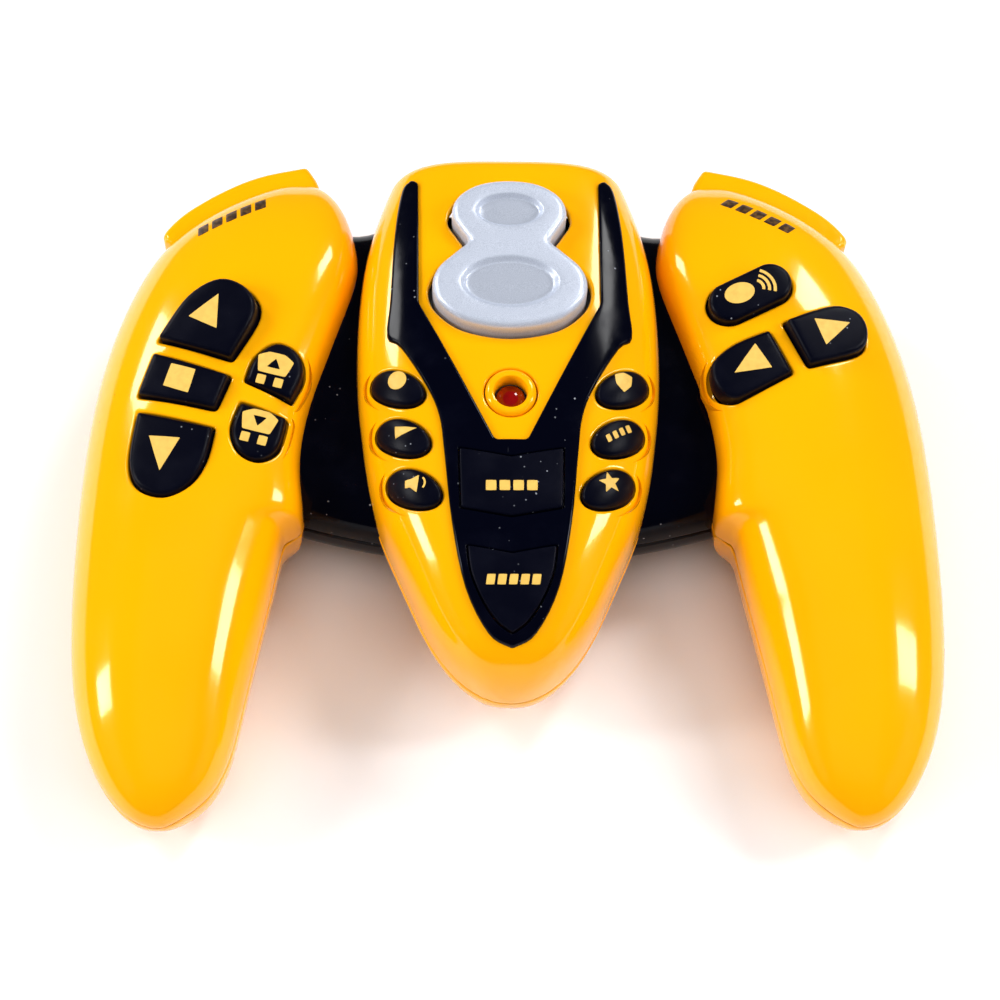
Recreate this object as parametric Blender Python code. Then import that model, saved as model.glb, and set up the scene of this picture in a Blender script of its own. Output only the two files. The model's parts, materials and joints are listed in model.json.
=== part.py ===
"""Handheld infrared remote controller: two grips, a black bridge and a raised centre pod.

Lengths are in millimetres until they reach a mesh. +X right, +Y away from the user, +Z up.
"""

import math

import bmesh
import bpy
import numpy as np
from mathutils import Matrix, Vector

MM = 0.001
GAP = 0.3  # between pieces that touch
WALL = 1.5
SEAM = 0.15  # half the parting gap

COLOURS = {
    "yellow_gloss": ((0.93, 0.60, 0.01), 0.22),
    "black_gloss": ((0.006, 0.007, 0.012), 0.15),
    "key_rubber": ((0.012, 0.013, 0.022), 0.55),
    "silver_paint": ((0.60, 0.61, 0.64), 0.35),
    "lens_red": ((0.25, 0.004, 0.004), 0.1),
    "window_black": ((0.02, 0.0, 0.01), 0.1),
    "circuit_board": ((0.02, 0.14, 0.05), 0.5),
    "membrane": ((0.35, 0.36, 0.36), 0.6),
    "steel": ((0.55, 0.56, 0.58), 0.3),
    "cell_wrap": ((0.05, 0.20, 0.36), 0.3),
    "wire": ((0.45, 0.02, 0.02), 0.4),
    "switch_plastic": ((0.03, 0.03, 0.03), 0.5),
    "foot_rubber": ((0.02, 0.02, 0.02), 0.8),
}


# ---------------------------------------------------------------- small helpers
def clear_scene():
    for obj in list(bpy.data.objects):
        bpy.data.objects.remove(obj, do_unlink=True)


def material(name):
    found = bpy.data.materials.get(name)
    if found:
        return found
    colour, roughness = COLOURS[name]
    made = bpy.data.materials.new(name)
    made.use_nodes = True
    shader = made.node_tree.nodes["Principled BSDF"]
    shader.inputs["Base Color"].default_value = (*colour, 1)
    shader.inputs["Roughness"].default_value = roughness
    if name in ("steel", "silver_paint"):
        shader.inputs["Metallic"].default_value = 0.8
    return made


def add_mesh(name, verts, faces, slot=None, matrix=None, flat=False):
    """Makes an object from points in mm. A piece with no slot is a cutter."""
    mesh = bpy.data.meshes.new(name)
    bm = bmesh.new()
    made = [bm.verts.new(Vector(v) * MM) for v in verts]
    for face in faces:
        bm.faces.new([made[i] for i in face])
    bmesh.ops.remove_doubles(bm, verts=bm.verts, dist=2e-6)
    bmesh.ops.recalc_face_normals(bm, faces=bm.faces)
    bm.to_mesh(mesh)
    bm.free()
    obj = bpy.data.objects.new(name, mesh)
    bpy.context.scene.collection.objects.link(obj)
    if matrix is not None:
        obj.matrix_world = matrix
    if slot:
        mesh.materials.append(material(slot))
        mesh.shade_smooth()
        if not flat:
            mesh.set_sharp_from_angle(angle=math.radians(38))
    else:
        obj.hide_render = True
        obj.display_type = "WIRE"
    return obj


def cut(target, cutter, operation="DIFFERENCE"):
    modifier = target.modifiers.new("cut", "BOOLEAN")
    modifier.operation = operation
    modifier.solver = "EXACT"
    modifier.object = cutter


class Spline:
    """Natural cubic through (x, y) pairs."""

    def __init__(self, pairs):
        self.x, y = np.array(sorted(pairs), float).T
        n, h = len(self.x), np.diff(self.x)
        a = np.eye(n)
        b = np.zeros(n)
        for i in range(1, n - 1):
            a[i, i - 1 : i + 2] = h[i - 1], 2 * (h[i - 1] + h[i]), h[i]
            b[i] = 6 * ((y[i + 1] - y[i]) / h[i] - (y[i] - y[i - 1]) / h[i - 1])
        self.y, self.m = y, np.linalg.solve(a, b)

    def __call__(self, x):
        i = int(np.clip(np.searchsorted(self.x, x) - 1, 0, len(self.x) - 2))
        h = self.x[i + 1] - self.x[i]
        p, q = (self.x[i + 1] - x) / h, (x - self.x[i]) / h
        bend = ((p**3 - p) * self.m[i] + (q**3 - q) * self.m[i + 1]) * h * h / 6
        return p * self.y[i] + q * self.y[i + 1] + bend


def smoothstep(t):
    t = min(max(t, 0.0), 1.0)
    return t * t * (3 - 2 * t)


def shell_from_rows(name, outer, inner, slot):
    """Closes two grids of points into one solid wall. Rows may shrink to a point."""
    rows, cols = len(outer), len(outer[0])
    verts = [p for row in outer for p in row] + [p for row in inner for p in row]
    at = lambda i, j, k: k * rows * cols + i * cols + j
    faces = []
    for i in range(rows - 1):
        for j in range(cols - 1):
            quad = [at(i, j, 0), at(i, j + 1, 0), at(i + 1, j + 1, 0), at(i + 1, j, 0)]
            faces.append(quad)
            faces.append([v + rows * cols for v in reversed(quad)])
        for j in (0, cols - 1):
            faces.append([at(i, j, 0), at(i + 1, j, 0), at(i + 1, j, 1), at(i, j, 1)])
    for i in (0, rows - 1):
        for j in range(cols - 1):
            faces.append([at(i, j, 0), at(i, j + 1, 0), at(i, j + 1, 1), at(i, j, 1)])
    return add_rows(name, verts, faces, slot)


def add_rows(name, verts, faces, slot):
    """As add_mesh, but first joins equal points, so that faces at a pole lose their repeats."""
    keys, index = {}, []
    for v in verts:
        key = tuple(round(c, 3) for c in v)
        index.append(keys.setdefault(key, len(keys)))
    points = list(keys)
    kept = set()
    clean = []
    for face in faces:
        ring = [index[v] for v in face]
        ring = [v for k, v in enumerate(ring) if v != ring[k - 1]]
        if len(set(ring)) >= 3 and frozenset(ring) not in kept:
            kept.add(frozenset(ring))
            clean.append(ring)
    return add_mesh(name, points, clean, slot)


def super_point(angle, power_a, power_b):
    """Superellipse of two halves: (-1..1 across, 0..1 up)."""
    c, s = math.cos(angle), max(math.sin(angle), 0.0)
    power = power_a if c > 0 else power_b
    return math.copysign(abs(c) ** (2 / power), c), s ** (2 / power)


# ---------------------------------------------------------------- grips
GRIP_MID, GRIP_REACH = -2.0, 59.4  # centre and half of the length along Y
GRIP_OUTER = [
    (-61.4, -57.0), (-60.0, -61.4), (-55.2, -66.0), (-48.1, -69.6), (-38.1, -72.1),
    (-28.0, -73.1), (-14.7, -73.4), (-1.9, -73.1), (9.3, -72.3), (18.9, -70.9),
    (28.6, -68.5), (36.5, -65.6), (42.0, -62.6), (46.0, -59.0), (50.5, -53.0),
    (54.2, -46.4), (57.4, -38.0),
]
GRIP_INNER = [
    (-61.4, -57.0), (-59.9, -53.2), (-56.5, -49.2), (-51.2, -46.3), (-42.1, -44.2),
    (-31.9, -42.3), (-21.5, -40.2), (-13.0, -38.6), (-6.0, -37.4), (0.0, -36.4),
    (6.0, -35.2), (12.0, -33.8), (18.6, -31.8), (25.3, -29.7), (32.0, -27.6),
    (37.5, -26.5), (43.5, -27.0), (49.5, -28.8), (54.0, -31.6), (57.4, -38.0),
]
GRIP_CREST = [
    (-61.4, 11.8), (-59.5, 15.8), (-56.0, 18.4), (-50.0, 20.9), (-40.0, 23.5),
    (-25.0, 26.1), (-10.0, 28.1), (5.0, 29.7), (20.0, 31.1), (32.0, 31.6),
    (42.0, 30.9), (50.0, 28.8), (54.5, 26.0), (56.8, 22.6), (57.4, 18.3),
]
GRIP_FLOOR = [
    (-61.4, 11.8), (-60.0, 7.6), (-57.0, 4.4), (-50.0, 1.9), (-38.0, 0.7),
    (-20.0, 0.6), (10.0, 0.6), (30.0, 0.9), (42.0, 2.4), (50.0, 5.4),
    (55.0, 9.5), (57.4, 18.3),
]
CREST_AT = 0.55  # share of the way from the outer edge to the inner edge
ARMPIT_Y, ARMPIT_STEP = -10.8, 2.9


def grip_turn(y):
    return math.acos(max(-1.0, min(1.0, (GRIP_MID - y) / GRIP_REACH)))


GRIP_LINES = [
    Spline([(grip_turn(y), v) for y, v in line])
    for line in (GRIP_OUTER, GRIP_INNER, GRIP_CREST, GRIP_FLOOR)
]


def grip_parting(y):
    return 15.2 + 0.055 * y


def grip_power_inner(y):
    return 2.4 + 1.9 * smoothstep((y + 25) / 32)


def grip_point(turn, angle, upper, wall=0.0, grow=0.0):
    """A point of the left grip. angle runs from the outer edge, over the crest, to the inner."""
    y = GRIP_MID - (GRIP_REACH - wall + grow) * math.cos(turn)
    out, inn, crest, floor = (line(turn) for line in GRIP_LINES)
    mid = out + CREST_AT * (inn - out)
    height = (crest if upper else floor) - grip_parting(y) if abs(out - inn) > 0.01 else 0.0
    if upper:
        across, rise = super_point(angle, 2.2, grip_power_inner(y))
    else:
        across, rise = super_point(angle, 2.6, 2.9)
    half = (out if across > 0 else inn) - mid
    shrink = max(1 - wall / max(abs(half), 0.01), 0.08) if wall else 1 + grow / max(abs(half), 2)
    drop = max(1 - wall / max(abs(height), 0.01), 0.08) if wall else 1 + grow / max(abs(height), 2)
    x = mid + abs(across) * half * shrink
    if across < 0:
        lift = (y - ARMPIT_Y) / 0.45
        step = ARMPIT_STEP / (1 + math.exp(-max(min(lift, 40), -40)))
        fade = math.exp(-(((y - ARMPIT_Y) / 9.5) ** 2)) if y > ARMPIT_Y else 1.0
        x += step * fade * smoothstep((abs(across) - 0.5) / 0.5) * (1 if upper else 1 - rise * rise)
    seam = SEAM if upper else -SEAM
    return x, y, grip_parting(y) + (0 if grow else seam) + height * drop * rise


def grip_turns(count, extra=True):
    turns = [math.pi * k / count for k in range(count + 1)]
    if extra:
        turns += [grip_turn(ARMPIT_Y + d) for d in (-1.6, -0.5, 0.5, 1.6)]
    return sorted(turns)


def mirror(rows, side):
    return [[(side * x, y, z) for x, y, z in row] for row in rows]


def grip_shell(name, side, upper, slices, steps):
    angles = [math.pi * k / steps for k in range(steps + 1)]
    grids = [
        mirror([[grip_point(t, a, upper, wall) for a in angles] for t in grip_turns(slices)], side)
        for wall in (0.0, WALL)
    ]
    return shell_from_rows(name, *grids, "yellow_gloss")


def grip_envelope(side, grow):
    """The whole grip as a solid, a little larger, to trim what butts against it."""
    rows = []
    for t in grip_turns(16):
        top = [grip_point(t, math.pi * k / 12, True, 0, grow) for k in range(13)]
        low = [grip_point(t, math.pi * k / 10, False, 0, grow) for k in range(1, 10)]
        rows.append(top + low[::-1] + top[:1])
    rows = mirror(rows, side)
    verts = [p for row in rows for p in row]
    cols = len(rows[0])
    faces = [
        [i * cols + j, i * cols + j + 1, (i + 1) * cols + j + 1, (i + 1) * cols + j]
        for i in range(len(rows) - 1)
        for j in range(cols - 1)
    ]
    return add_rows(f"cutter_grip_{'left' if side > 0 else 'right'}", verts, faces, None)


# ---------------------------------------------------------------- centre pod
POD_TIP, POD_MID, POD_BACK, POD_FILLET = -39.8, 12.0, 55.2, 3.4
POD_WIDTH = [
    (-39.8, 0.0), (-38.9, 3.4), (-37.4, 5.6), (-33.3, 9.9), (-26.9, 14.6),
    (-20.1, 18.2), (-12.0, 21.6), (-4.0, 23.9), (4.0, 25.2), (12.0, 26.1),
    (22.0, 26.4), (32.0, 26.0), (42.0, 24.5), (49.0, 22.5), (55.2, 20.4),
]
POD_CREST = [
    (-39.8, 14.0), (-39.2, 20.0), (-37.8, 24.0), (-35.6, 26.9), (-31.0, 29.3),
    (-25.0, 31.1), (-15.0, 32.9), (-5.0, 34.1), (5.0, 35.0), (15.0, 35.7),
    (30.0, 36.2), (45.0, 36.2), (55.2, 35.6),
]
POD_POWER = 3.7


def pod_way(y):
    reach = POD_MID - POD_TIP
    if y < POD_MID:
        return math.acos(min(1.0, (POD_MID - y) / reach))
    return math.pi / 2 + (y - POD_MID) / reach


def pod_y(way):
    reach = POD_MID - POD_TIP
    return POD_MID - reach * math.cos(way) if way < math.pi / 2 else POD_MID + (way - math.pi / 2) * reach


POD_LINES = [Spline([(pod_way(y), v) for y, v in line]) for line in (POD_WIDTH, POD_CREST)]


def pod_parting(y):
    return 14.0 + 0.05 * (y + 40)


def pod_stations(front, back, fillet):
    """(way, inset) pairs from the tip to the middle of the flat back."""
    ways = [(math.pi / 2 * k / front, 0.0) for k in range(front + 1)]
    last = pod_way(POD_BACK - POD_FILLET)
    ways += [(math.pi / 2 + (last - math.pi / 2) * k / back, 0.0) for k in range(1, back + 1)]
    for k in range(1, fillet + 1):
        a = math.pi / 2 * k / fillet
        ways.append((pod_way(POD_BACK - POD_FILLET + POD_FILLET * math.sin(a)), POD_FILLET * (1 - math.cos(a))))
    return ways


def pod_point(way, inset, angle, lift=0.0, wall=0.0, shrink=1.0):
    y = pod_y(way)
    width, crest = (line(way) for line in POD_LINES)
    base = pod_parting(y)
    height = crest - base
    y = y + wall if way < 0.4 else y - wall * smoothstep((y - 45) / 8)
    across, rise = super_point(angle, POD_POWER, POD_POWER)
    half = max(width - inset - wall + lift, width * 0.08) * shrink
    tall = max(height - inset - wall + lift, height * 0.08) * shrink
    return -across * half, y, base + SEAM + tall * rise


def pod_rows(stations, steps, lift=0.0, wall=0.0, span=(0.0, math.pi)):
    angles = [span[0] + (span[1] - span[0]) * k / steps for k in range(steps + 1)]
    return [[pod_point(w, i, a, lift, wall) for a in angles] for w, i in stations]


def pod_upper_shell():
    stations = pod_stations(9, 4, 3)
    grids = []
    for wall in (0.0, WALL):
        rows = pod_rows(stations, 14, 0.0, wall)
        way, inset = stations[-1]
        rows.append([pod_point(way, inset, math.pi * k / 14, 0.0, wall, 0.0) for k in range(15)])
        grids.append(rows)
    return shell_from_rows("centre_upper_shell", *grids, "yellow_gloss")


def nose_shell():
    """The lower nose: a bowl under the front of the pod, open towards the bridge."""
    stations = [(w, i) for w, i in pod_stations(9, 4, 3) if pod_y(w) < 6]
    floor = Spline([(pod_way(y), z) for y, z in
                    [(-39.8, 14.0), (-39.2, 10.6), (-37.0, 8.2), (-30.0, 6.2), (-15.0, 5.2), (6.0, 5.0)]])
    grids = []
    for wall in (0.0, WALL):
        rows = []
        for way, _ in stations:
            y = pod_y(way)
            width, base = POD_LINES[0](way), pod_parting(y) - SEAM
            depth = max(base - floor(way) - wall, 0.05) if width > 0.01 else 0.0
            half = max(width - wall, width * 0.08)
            row = []
            for k in range(11):
                across, rise = super_point(math.pi * k / 10, 2.6, 2.6)
                row.append((-across * half, y + wall * (way < 0.4), base - depth * rise))
            rows.append(row)
        grids.append(rows)
    return shell_from_rows("centre_lower_shell", *grids, "yellow_gloss")


# ---------------------------------------------------------------- bridge
BRIDGE_X = 37.5
BRIDGE_MID_Z, BRIDGE_TOP, BRIDGE_FLOOR, BRIDGE_POWER = 12.0, 23.0, 1.4, 3.4


def bridge_ends(x):
    front = -12.5 + 0.0043 * x * x
    back = 54.5 - 4.5 * smoothstep((abs(x) - 14) / 13)
    return front, back


def bridge_row(x, upper, steps, wall=0.0, grow=0.0):
    front, back = bridge_ends(x)
    mid, half = (front + back) / 2, (back - front) / 2 - wall + grow
    tall = (BRIDGE_TOP - BRIDGE_MID_Z if upper else BRIDGE_MID_Z - BRIDGE_FLOOR) - wall + grow
    row = []
    for k in range(steps + 1):
        across, rise = super_point(math.pi * k / steps, BRIDGE_POWER, BRIDGE_POWER)
        y = mid - across * half
        z = tall * rise * (1 if upper else -1)
        tilt = 0.05 * (y - 20) * rise if upper else 0.0
        seam = 0 if grow else (SEAM if upper else -SEAM)
        row.append((x, y, BRIDGE_MID_Z + seam + z + tilt))
    return row


def bridge_shell(name, upper):
    xs = [BRIDGE_X * k / 6 for k in range(-6, 7)]
    grids = [[bridge_row(x, upper, 16, wall) for x in xs] for wall in (0.0, 1.8)]
    return shell_from_rows(name, *grids, "black_gloss")


def bridge_envelope(grow):
    xs = [(BRIDGE_X + 6) * k / 6 for k in range(-6, 7)]
    rows = [bridge_row(x, True, 16, 0, grow) + bridge_row(x, False, 16, 0, grow)[::-1][1:] for x in xs]
    cols = len(rows[0])
    verts = [p for row in rows for p in row]
    faces = [
        [i * cols + j, i * cols + j + 1, (i + 1) * cols + j + 1, (i + 1) * cols + j]
        for i in range(len(rows) - 1)
        for j in range(cols - 1)
    ]
    faces += [list(range(cols - 1)), list(range((len(rows) - 1) * cols, len(verts) - 1))]
    return add_rows("cutter_bridge", verts, faces, None)


# ---------------------------------------------------------------- outlines
def curve(points, sharp=(), steps=2, corner=0.8):
    """Closed smooth line through points. Those in sharp keep a small rounded corner."""
    count = len(points)
    pts = [Vector(p) for p in points]
    line = []
    for i in range(count):
        a, b, c, d = (pts[(i + k) % count] for k in (-1, 0, 1, 2))
        start = (c - b) if i in sharp else (c - a) / 2
        end = (c - b) if (i + 1) % count in sharp else (d - b) / 2
        straight = i in sharp and (i + 1) % count in sharp
        if i in sharp:
            before = (b - a).normalized()
            after = (c - b).normalized()
            p, q = b - before * corner, b + after * corner
            line += [p, (p + q) / 4 + b / 2, q]
        else:
            line.append(b)
        for k in range(1, 1 if straight else steps):
            t = k / steps
            h = 2 * t**3 - 3 * t**2 + 1, t**3 - 2 * t**2 + t, -2 * t**3 + 3 * t**2, t**3 - t**2
            line.append(h[0] * b + h[1] * start + h[2] * c + h[3] * end)
    return [(p.x, p.y) for p in line]


def ellipse(cx, cy, a, b, tilt=0.0, count=20):
    c, s = math.cos(math.radians(tilt)), math.sin(math.radians(tilt))
    turn = [2 * math.pi * k / count for k in range(count)]
    return [(cx + a * math.cos(t) * c - b * math.sin(t) * s,
             cy + a * math.cos(t) * s + b * math.sin(t) * c) for t in turn]


def offset(line, distance):
    """Moves a counter-clockwise outline outwards, or inwards when negative."""
    moved = []
    for i, p in enumerate(line):
        a, b = Vector(p) - Vector(line[i - 1]), Vector(line[(i + 1) % len(line)]) - Vector(p)
        way = (a.normalized() + b.normalized()).normalized()
        moved.append((p[0] + way.y * distance, p[1] - way.x * distance))
    return moved


def flip(line, side):
    """The same outline on the other hand, still counter-clockwise."""
    return line if side > 0 else [(-x, y) for x, y in reversed(line)]


def stack(name, line, rings, slot, matrix, centre=(0, 0)):
    """A solid of rings (height, outward offset, scale about the centre), its origin at the centre."""
    verts, faces, count = [], [], len(line)
    for height, grow, *scale in rings:
        scale = scale[0] if scale else 1.0
        verts += [((x - centre[0]) * scale, (y - centre[1]) * scale, height) for x, y in offset(line, grow)]
    for r in range(len(rings) - 1):
        for i in range(count):
            j = (i + 1) % count
            faces.append([r * count + i, r * count + j, (r + 1) * count + j, (r + 1) * count + i])
    faces += [list(range(count))[::-1], list(range(len(verts) - count, len(verts)))]
    place = matrix @ Matrix.Translation((centre[0] * MM, centre[1] * MM, 0))
    return add_mesh(name, verts, faces, slot, place)


def frame(x, y, z, slope_x=0.0, slope_y=0.0):
    """A matrix whose XY plane passes through the point with these slopes."""
    normal = Vector((-slope_x, -slope_y, 1)).normalized()
    ex = Vector((1, 0, slope_x)).normalized()
    ey = normal.cross(ex)
    turn = Matrix((ex, ey, normal)).transposed().to_4x4()
    return Matrix.Translation(Vector((x, y, z)) * MM) @ turn


def box(name, low, high, slot=None, matrix=None, round_by=0.0):
    line = [(low[0], low[1]), (high[0], low[1]), (high[0], high[1]), (low[0], high[1])]
    if round_by:
        line = curve(line, (0, 1, 2, 3), corner=round_by)
    return stack(name, line, [(low[2], 0), (high[2], 0)], slot, matrix or Matrix())


def side_box(name, side, low, high, slot=None):
    """A box given for the left hand."""
    x = sorted((side * low[0], side * high[0]))
    return box(name, (x[0], *low[1:]), (x[1], *high[1:]), slot)


def rod(name, start, end, radius, slot=None, count=16, dome=0.0):
    """A round bar. A dome rounds its far end."""
    a, b = Vector(start), Vector(end)
    turn = (b - a).to_track_quat("Z", "Y").to_matrix().to_4x4()
    length = (b - a).length
    rings = [(0, 0), (length - dome, 0)]
    if dome:
        rings += [(length - dome * (1 - math.sin(t)), -radius * (1 - math.cos(t))) for t in (0.5, 1.0, 1.35)]
    return stack(name, ellipse(0, 0, radius, radius, 0, count), rings, slot, Matrix.Translation(a * MM) @ turn)


def tube(name, path, radius, slot, count=6):
    """A bar swept along a smooth path of points."""
    lines = [Spline([(i, p[k]) for i, p in enumerate(path)]) for k in range(3)]
    stops = np.linspace(0, len(path) - 1, 3 * (len(path) - 1) + 1)
    centre = [Vector([line(s) for line in lines]) for s in stops]
    verts, faces = [], []
    for i, p in enumerate(centre):
        way = (centre[min(i + 1, len(centre) - 1)] - centre[max(i - 1, 0)]).normalized()
        side = way.cross(Vector((0, 1, 0.1))).normalized()
        up = side.cross(way)
        for k in range(count):
            t = 2 * math.pi * k / count
            verts.append(p + (side * math.cos(t) + up * math.sin(t)) * radius)
    for i in range(len(centre) - 1):
        for k in range(count):
            n = (k + 1) % count
            faces.append([i * count + k, i * count + n, (i + 1) * count + n, (i + 1) * count + k])
    faces += [list(range(count)), list(range(len(verts) - count, len(verts)))]
    return add_mesh(name, verts, faces, slot)


# ---------------------------------------------------------------- key fields
LEFT_OUT = frame(-57, 8, 29.0, 0.12, 0.13)
LEFT_IN = frame(-41, 8, 29.2, -0.02, 0.13)
RIGHT_OUT = frame(57, 8, 29.0, -0.12, 0.13)
RIGHT_IN = frame(41, 8, 29.2, 0.02, 0.13)
CENTRE = frame(0, 0, 32.8, 0, 0.10)
NOSE = frame(0, -20, 31.9, 0, 0.25)
LAMP = frame(0, 6.6, 35.1, 0, 0.07)
ROCKER = frame(0, 34.0, 36.4, 0, 0.03)

ROCKER_HALF = [(0, -16.6), (7.6, -15.2), (12.0, -11.7), (13.3, -8.0), (12.2, -4.4),
               (9.2, -1.3), (7.3, 0.8), (8.4, 3.0), (10.0, 6.2), (8.9, 9.8), (5.2, 12.4), (0, 13.2)]
HALF_INLAY = [(0, -35.4), (4.0, -33.2), (7.6, -26.6), (9.8, -16.5), (11.1, -4.1), (11.9, 2.2),
              (13.9, 7.6), (18.4, 15.6), (20.8, 18.2), (20.4, 25.0), (20.0, 35.0), (19.5, 42.0),
              (18.6, 48.4), (17.2, 50.4), (15.8, 49.2), (15.5, 23.8), (2.7, -2.2)]


def both_sides(half):
    """Closes a right-hand half outline with its mirror image, counter-clockwise."""
    left = [(-x, y) for x, y in reversed(half) if x > 0]
    return half + left


KEYS = {
    # name: (frame, hole outline, height of its top, height of its skirt)
    "key_up": (LEFT_OUT, curve([(-3.1, 11.6), (10.2, 6.8), (14.5, 15.3), (12.9, 20.2), (7.9, 22.5), (2.2, 19.4)],
                               (0, 1)), 2.0, -4.4),
    "key_stop": (LEFT_OUT, curve([(-6.1, 1.2), (7.7, -2.3), (10.2, 4.2), (-3.4, 9.3)], (0, 1, 2, 3)), 2.0, -4.4),
    "key_down": (LEFT_OUT, curve([(7.7, -5.2), (-5.9, -1.4), (-7.0, -10.6), (-5.4, -15.6), (-0.8, -17.6),
                                  (3.7, -15.6), (6.3, -11.4)], (0, 1)), 2.0, -4.4),
    "key_raise": (LEFT_IN, curve([(-4.2, 3.4), (4.2, -0.2), (6.2, 5.4), (5.0, 9.2), (1.2, 10.9), (-2.5, 8.0)],
                                 (0, 1)), 1.4, -4.4),
    "key_lower": (LEFT_IN, curve([(3.8, -3.0), (-4.6, 0.0), (-6.1, -5.4), (-4.6, -9.6), (-1.1, -11.1),
                                  (2.2, -8.9)], (0, 1)), 1.4, -4.4),
    "key_signal": (RIGHT_IN, None, 2.0, -4.4),
    "key_left": (RIGHT_IN, curve([(3.8, 13.7), (-2.9, 10.8), (-7.0, 7.6), (-7.4, 4.4), (-5.9, 1.4), (-3.0, 0.2),
                                  (0.0, 1.2), (7.6, 5.3)], (0, 7)), 2.0, -4.4),
    "key_right": (RIGHT_OUT, curve([(-10.3, 14.9), (-6.2, 6.2), (2.8, 9.4), (4.8, 13.2), (3.4, 17.0),
                                    (-0.6, 18.4), (-5.2, 17.1)], (0, 1)), 2.0, -4.4),
}
OVALS = [(18.9, 8.2), (17.9, -0.9), (16.0, -10.1)]
OVAL_NAMES = [("key_record", "key_shield"), ("key_play", "key_auto"), ("key_sound", "key_guard")]
UPPER_KEY = [(-8.5, -14.2), (0, -15.8), (8.5, -14.2), (8.8, -3.4), (0, -5.0), (-8.8, -3.4)]
LOWER_KEY = [(0, -15.9), (2.6, -13.6), (4.9, -9.8), (6.8, -5.0), (7.5, -0.2), (0, -1.6),
             (-7.5, -0.2), (-6.8, -5.0), (-4.9, -9.8), (-2.6, -13.6)]


def stadium(cx, cy, reach, radius, tilt, count=7):
    line = []
    for end in (1, -1):
        for k in range(count):
            t = math.radians(tilt) + math.pi * (k / (count - 1) - end / 2)
            c, s = math.cos(math.radians(tilt)) * end * reach, math.sin(math.radians(tilt)) * end * reach
            line.append((cx + c + radius * math.cos(t), cy + s + radius * math.sin(t)))
    return line


def middle(line):
    return tuple(round(sum(p[k] for p in line) / len(line), 1) for k in (0, 1))


def key_cap(name, line, matrix, top, skirt, foot, bevel=0.5):
    """A rubber cap that reaches below the shell, on a narrow stem. line is the hole in the shell."""
    rings = [(foot, 0, 0.5), (skirt, 0, 0.5), (skirt, -0.3), (top - bevel, -0.45), (top - bevel * 0.3, -0.55),
             (top, -0.8)]
    return stack(name, line, rings, "key_rubber", matrix, middle(line))


def hole(name, line, matrix, grow=0.0, depth=7.0):
    return stack(f"cutter_{name}", line, [(-depth, grow), (6.0, grow)], None, matrix)


def add_keys(left_upper, right_upper):
    for name, (matrix, line, top, skirt) in KEYS.items():
        line = line or stadium(0.75, 20.45, 4.1, 3.95, 27)
        key_cap(name, line, matrix, top, skirt, -5.8)
        cut(left_upper if matrix in (LEFT_OUT, LEFT_IN) else right_upper, hole(name, line, matrix))


def add_centre_keys(shell, inlay):
    for (x, y), names in zip(OVALS, OVAL_NAMES):
        for name, side in zip(names, (-1, 1)):
            line = ellipse(side * x, y, 5.25, 3.2, side * 31, 18)
            key_cap(name, line, CENTRE, 1.7, -5.0, -6.4, bevel=0.4)
            cut(shell, hole(name, line, CENTRE))
    for name, points, matrix, top in (
        ("key_mode", UPPER_KEY, CENTRE, 2.7),
        ("key_select", LOWER_KEY, NOSE, 1.1),
    ):
        line = curve(points, range(len(points)), corner=0.5)
        key_cap(name, line, matrix, top, -2.6, -5.8, bevel=0.3)
        cutter = hole(name, line, matrix)
        cut(shell, cutter)
        cut(inlay, cutter)


def add_rocker(shell):
    points = both_sides(ROCKER_HALF)
    line = curve(points, (), 1)
    pivot = Matrix.Translation((0, 0, -1.3 * MM))
    rings = [(-4.0, -3.0), (-3.0, -3.0), (-3.0, 1.0), (-2.3, 1.0), (-2.3, -0.05), (3.2, -0.15), (3.9, -0.5),
             (4.2, -1.1)]
    key = stack("rocker_key", line, rings, "silver_paint", ROCKER @ pivot)
    for name, y, a, b in (("low", -7.6, 8.4, 5.2), ("high", 6.8, 6.2, 3.6)):
        dish = stack(f"cutter_dish_{name}", ellipse(0, y, a, b, 0, 20), [(3.6, -0.6), (5.0, 0.1)], None, ROCKER @ pivot)
        cut(key, dish)
    cut(shell, stack("cutter_rocker", line, [(-8, 0.6), (6, 0.6)], None, ROCKER))


def add_inlay():
    """A thin plate that follows the pod's top, trimmed to its outline."""
    ways = [pod_way(y) for y in (-38.6, -37, -35, -31, -26, -20, -13, -5, 4, 13, 22, 32, 42, 50, 54)]
    span = (math.radians(22), math.radians(158))
    rows = [pod_rows([(w, 0.0) for w in ways], 14, lift, 0.0, span) for lift in (0.75, 0.12)]
    plate = shell_from_rows("face_inlay", rows[0], rows[1], "black_gloss")
    line = both_sides(HALF_INLAY)
    cut(plate, stack("cutter_inlay", line, [(10, 0), (60, 0)], None, Matrix()), "INTERSECT")
    return plate


# ---------------------------------------------------------------- triggers
TRIGGER_PIN = (-36.6, 53.2)
TRIGGER = [(-61.4, 44.9), (-58.2, 43.9), (-52.0, 47.9), (-45.0, 51.4), (-38.5, 50.6), (-34.6, 51.8), (-33.9, 56.9),
           (-36.2, 61.55), (-44.6, 59.4), (-51.2, 56.1), (-57.6, 51.4), (-61.1, 47.2)]
TRIGGER_LOW, TRIGGER_HIGH = 11.0, 23.2


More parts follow.
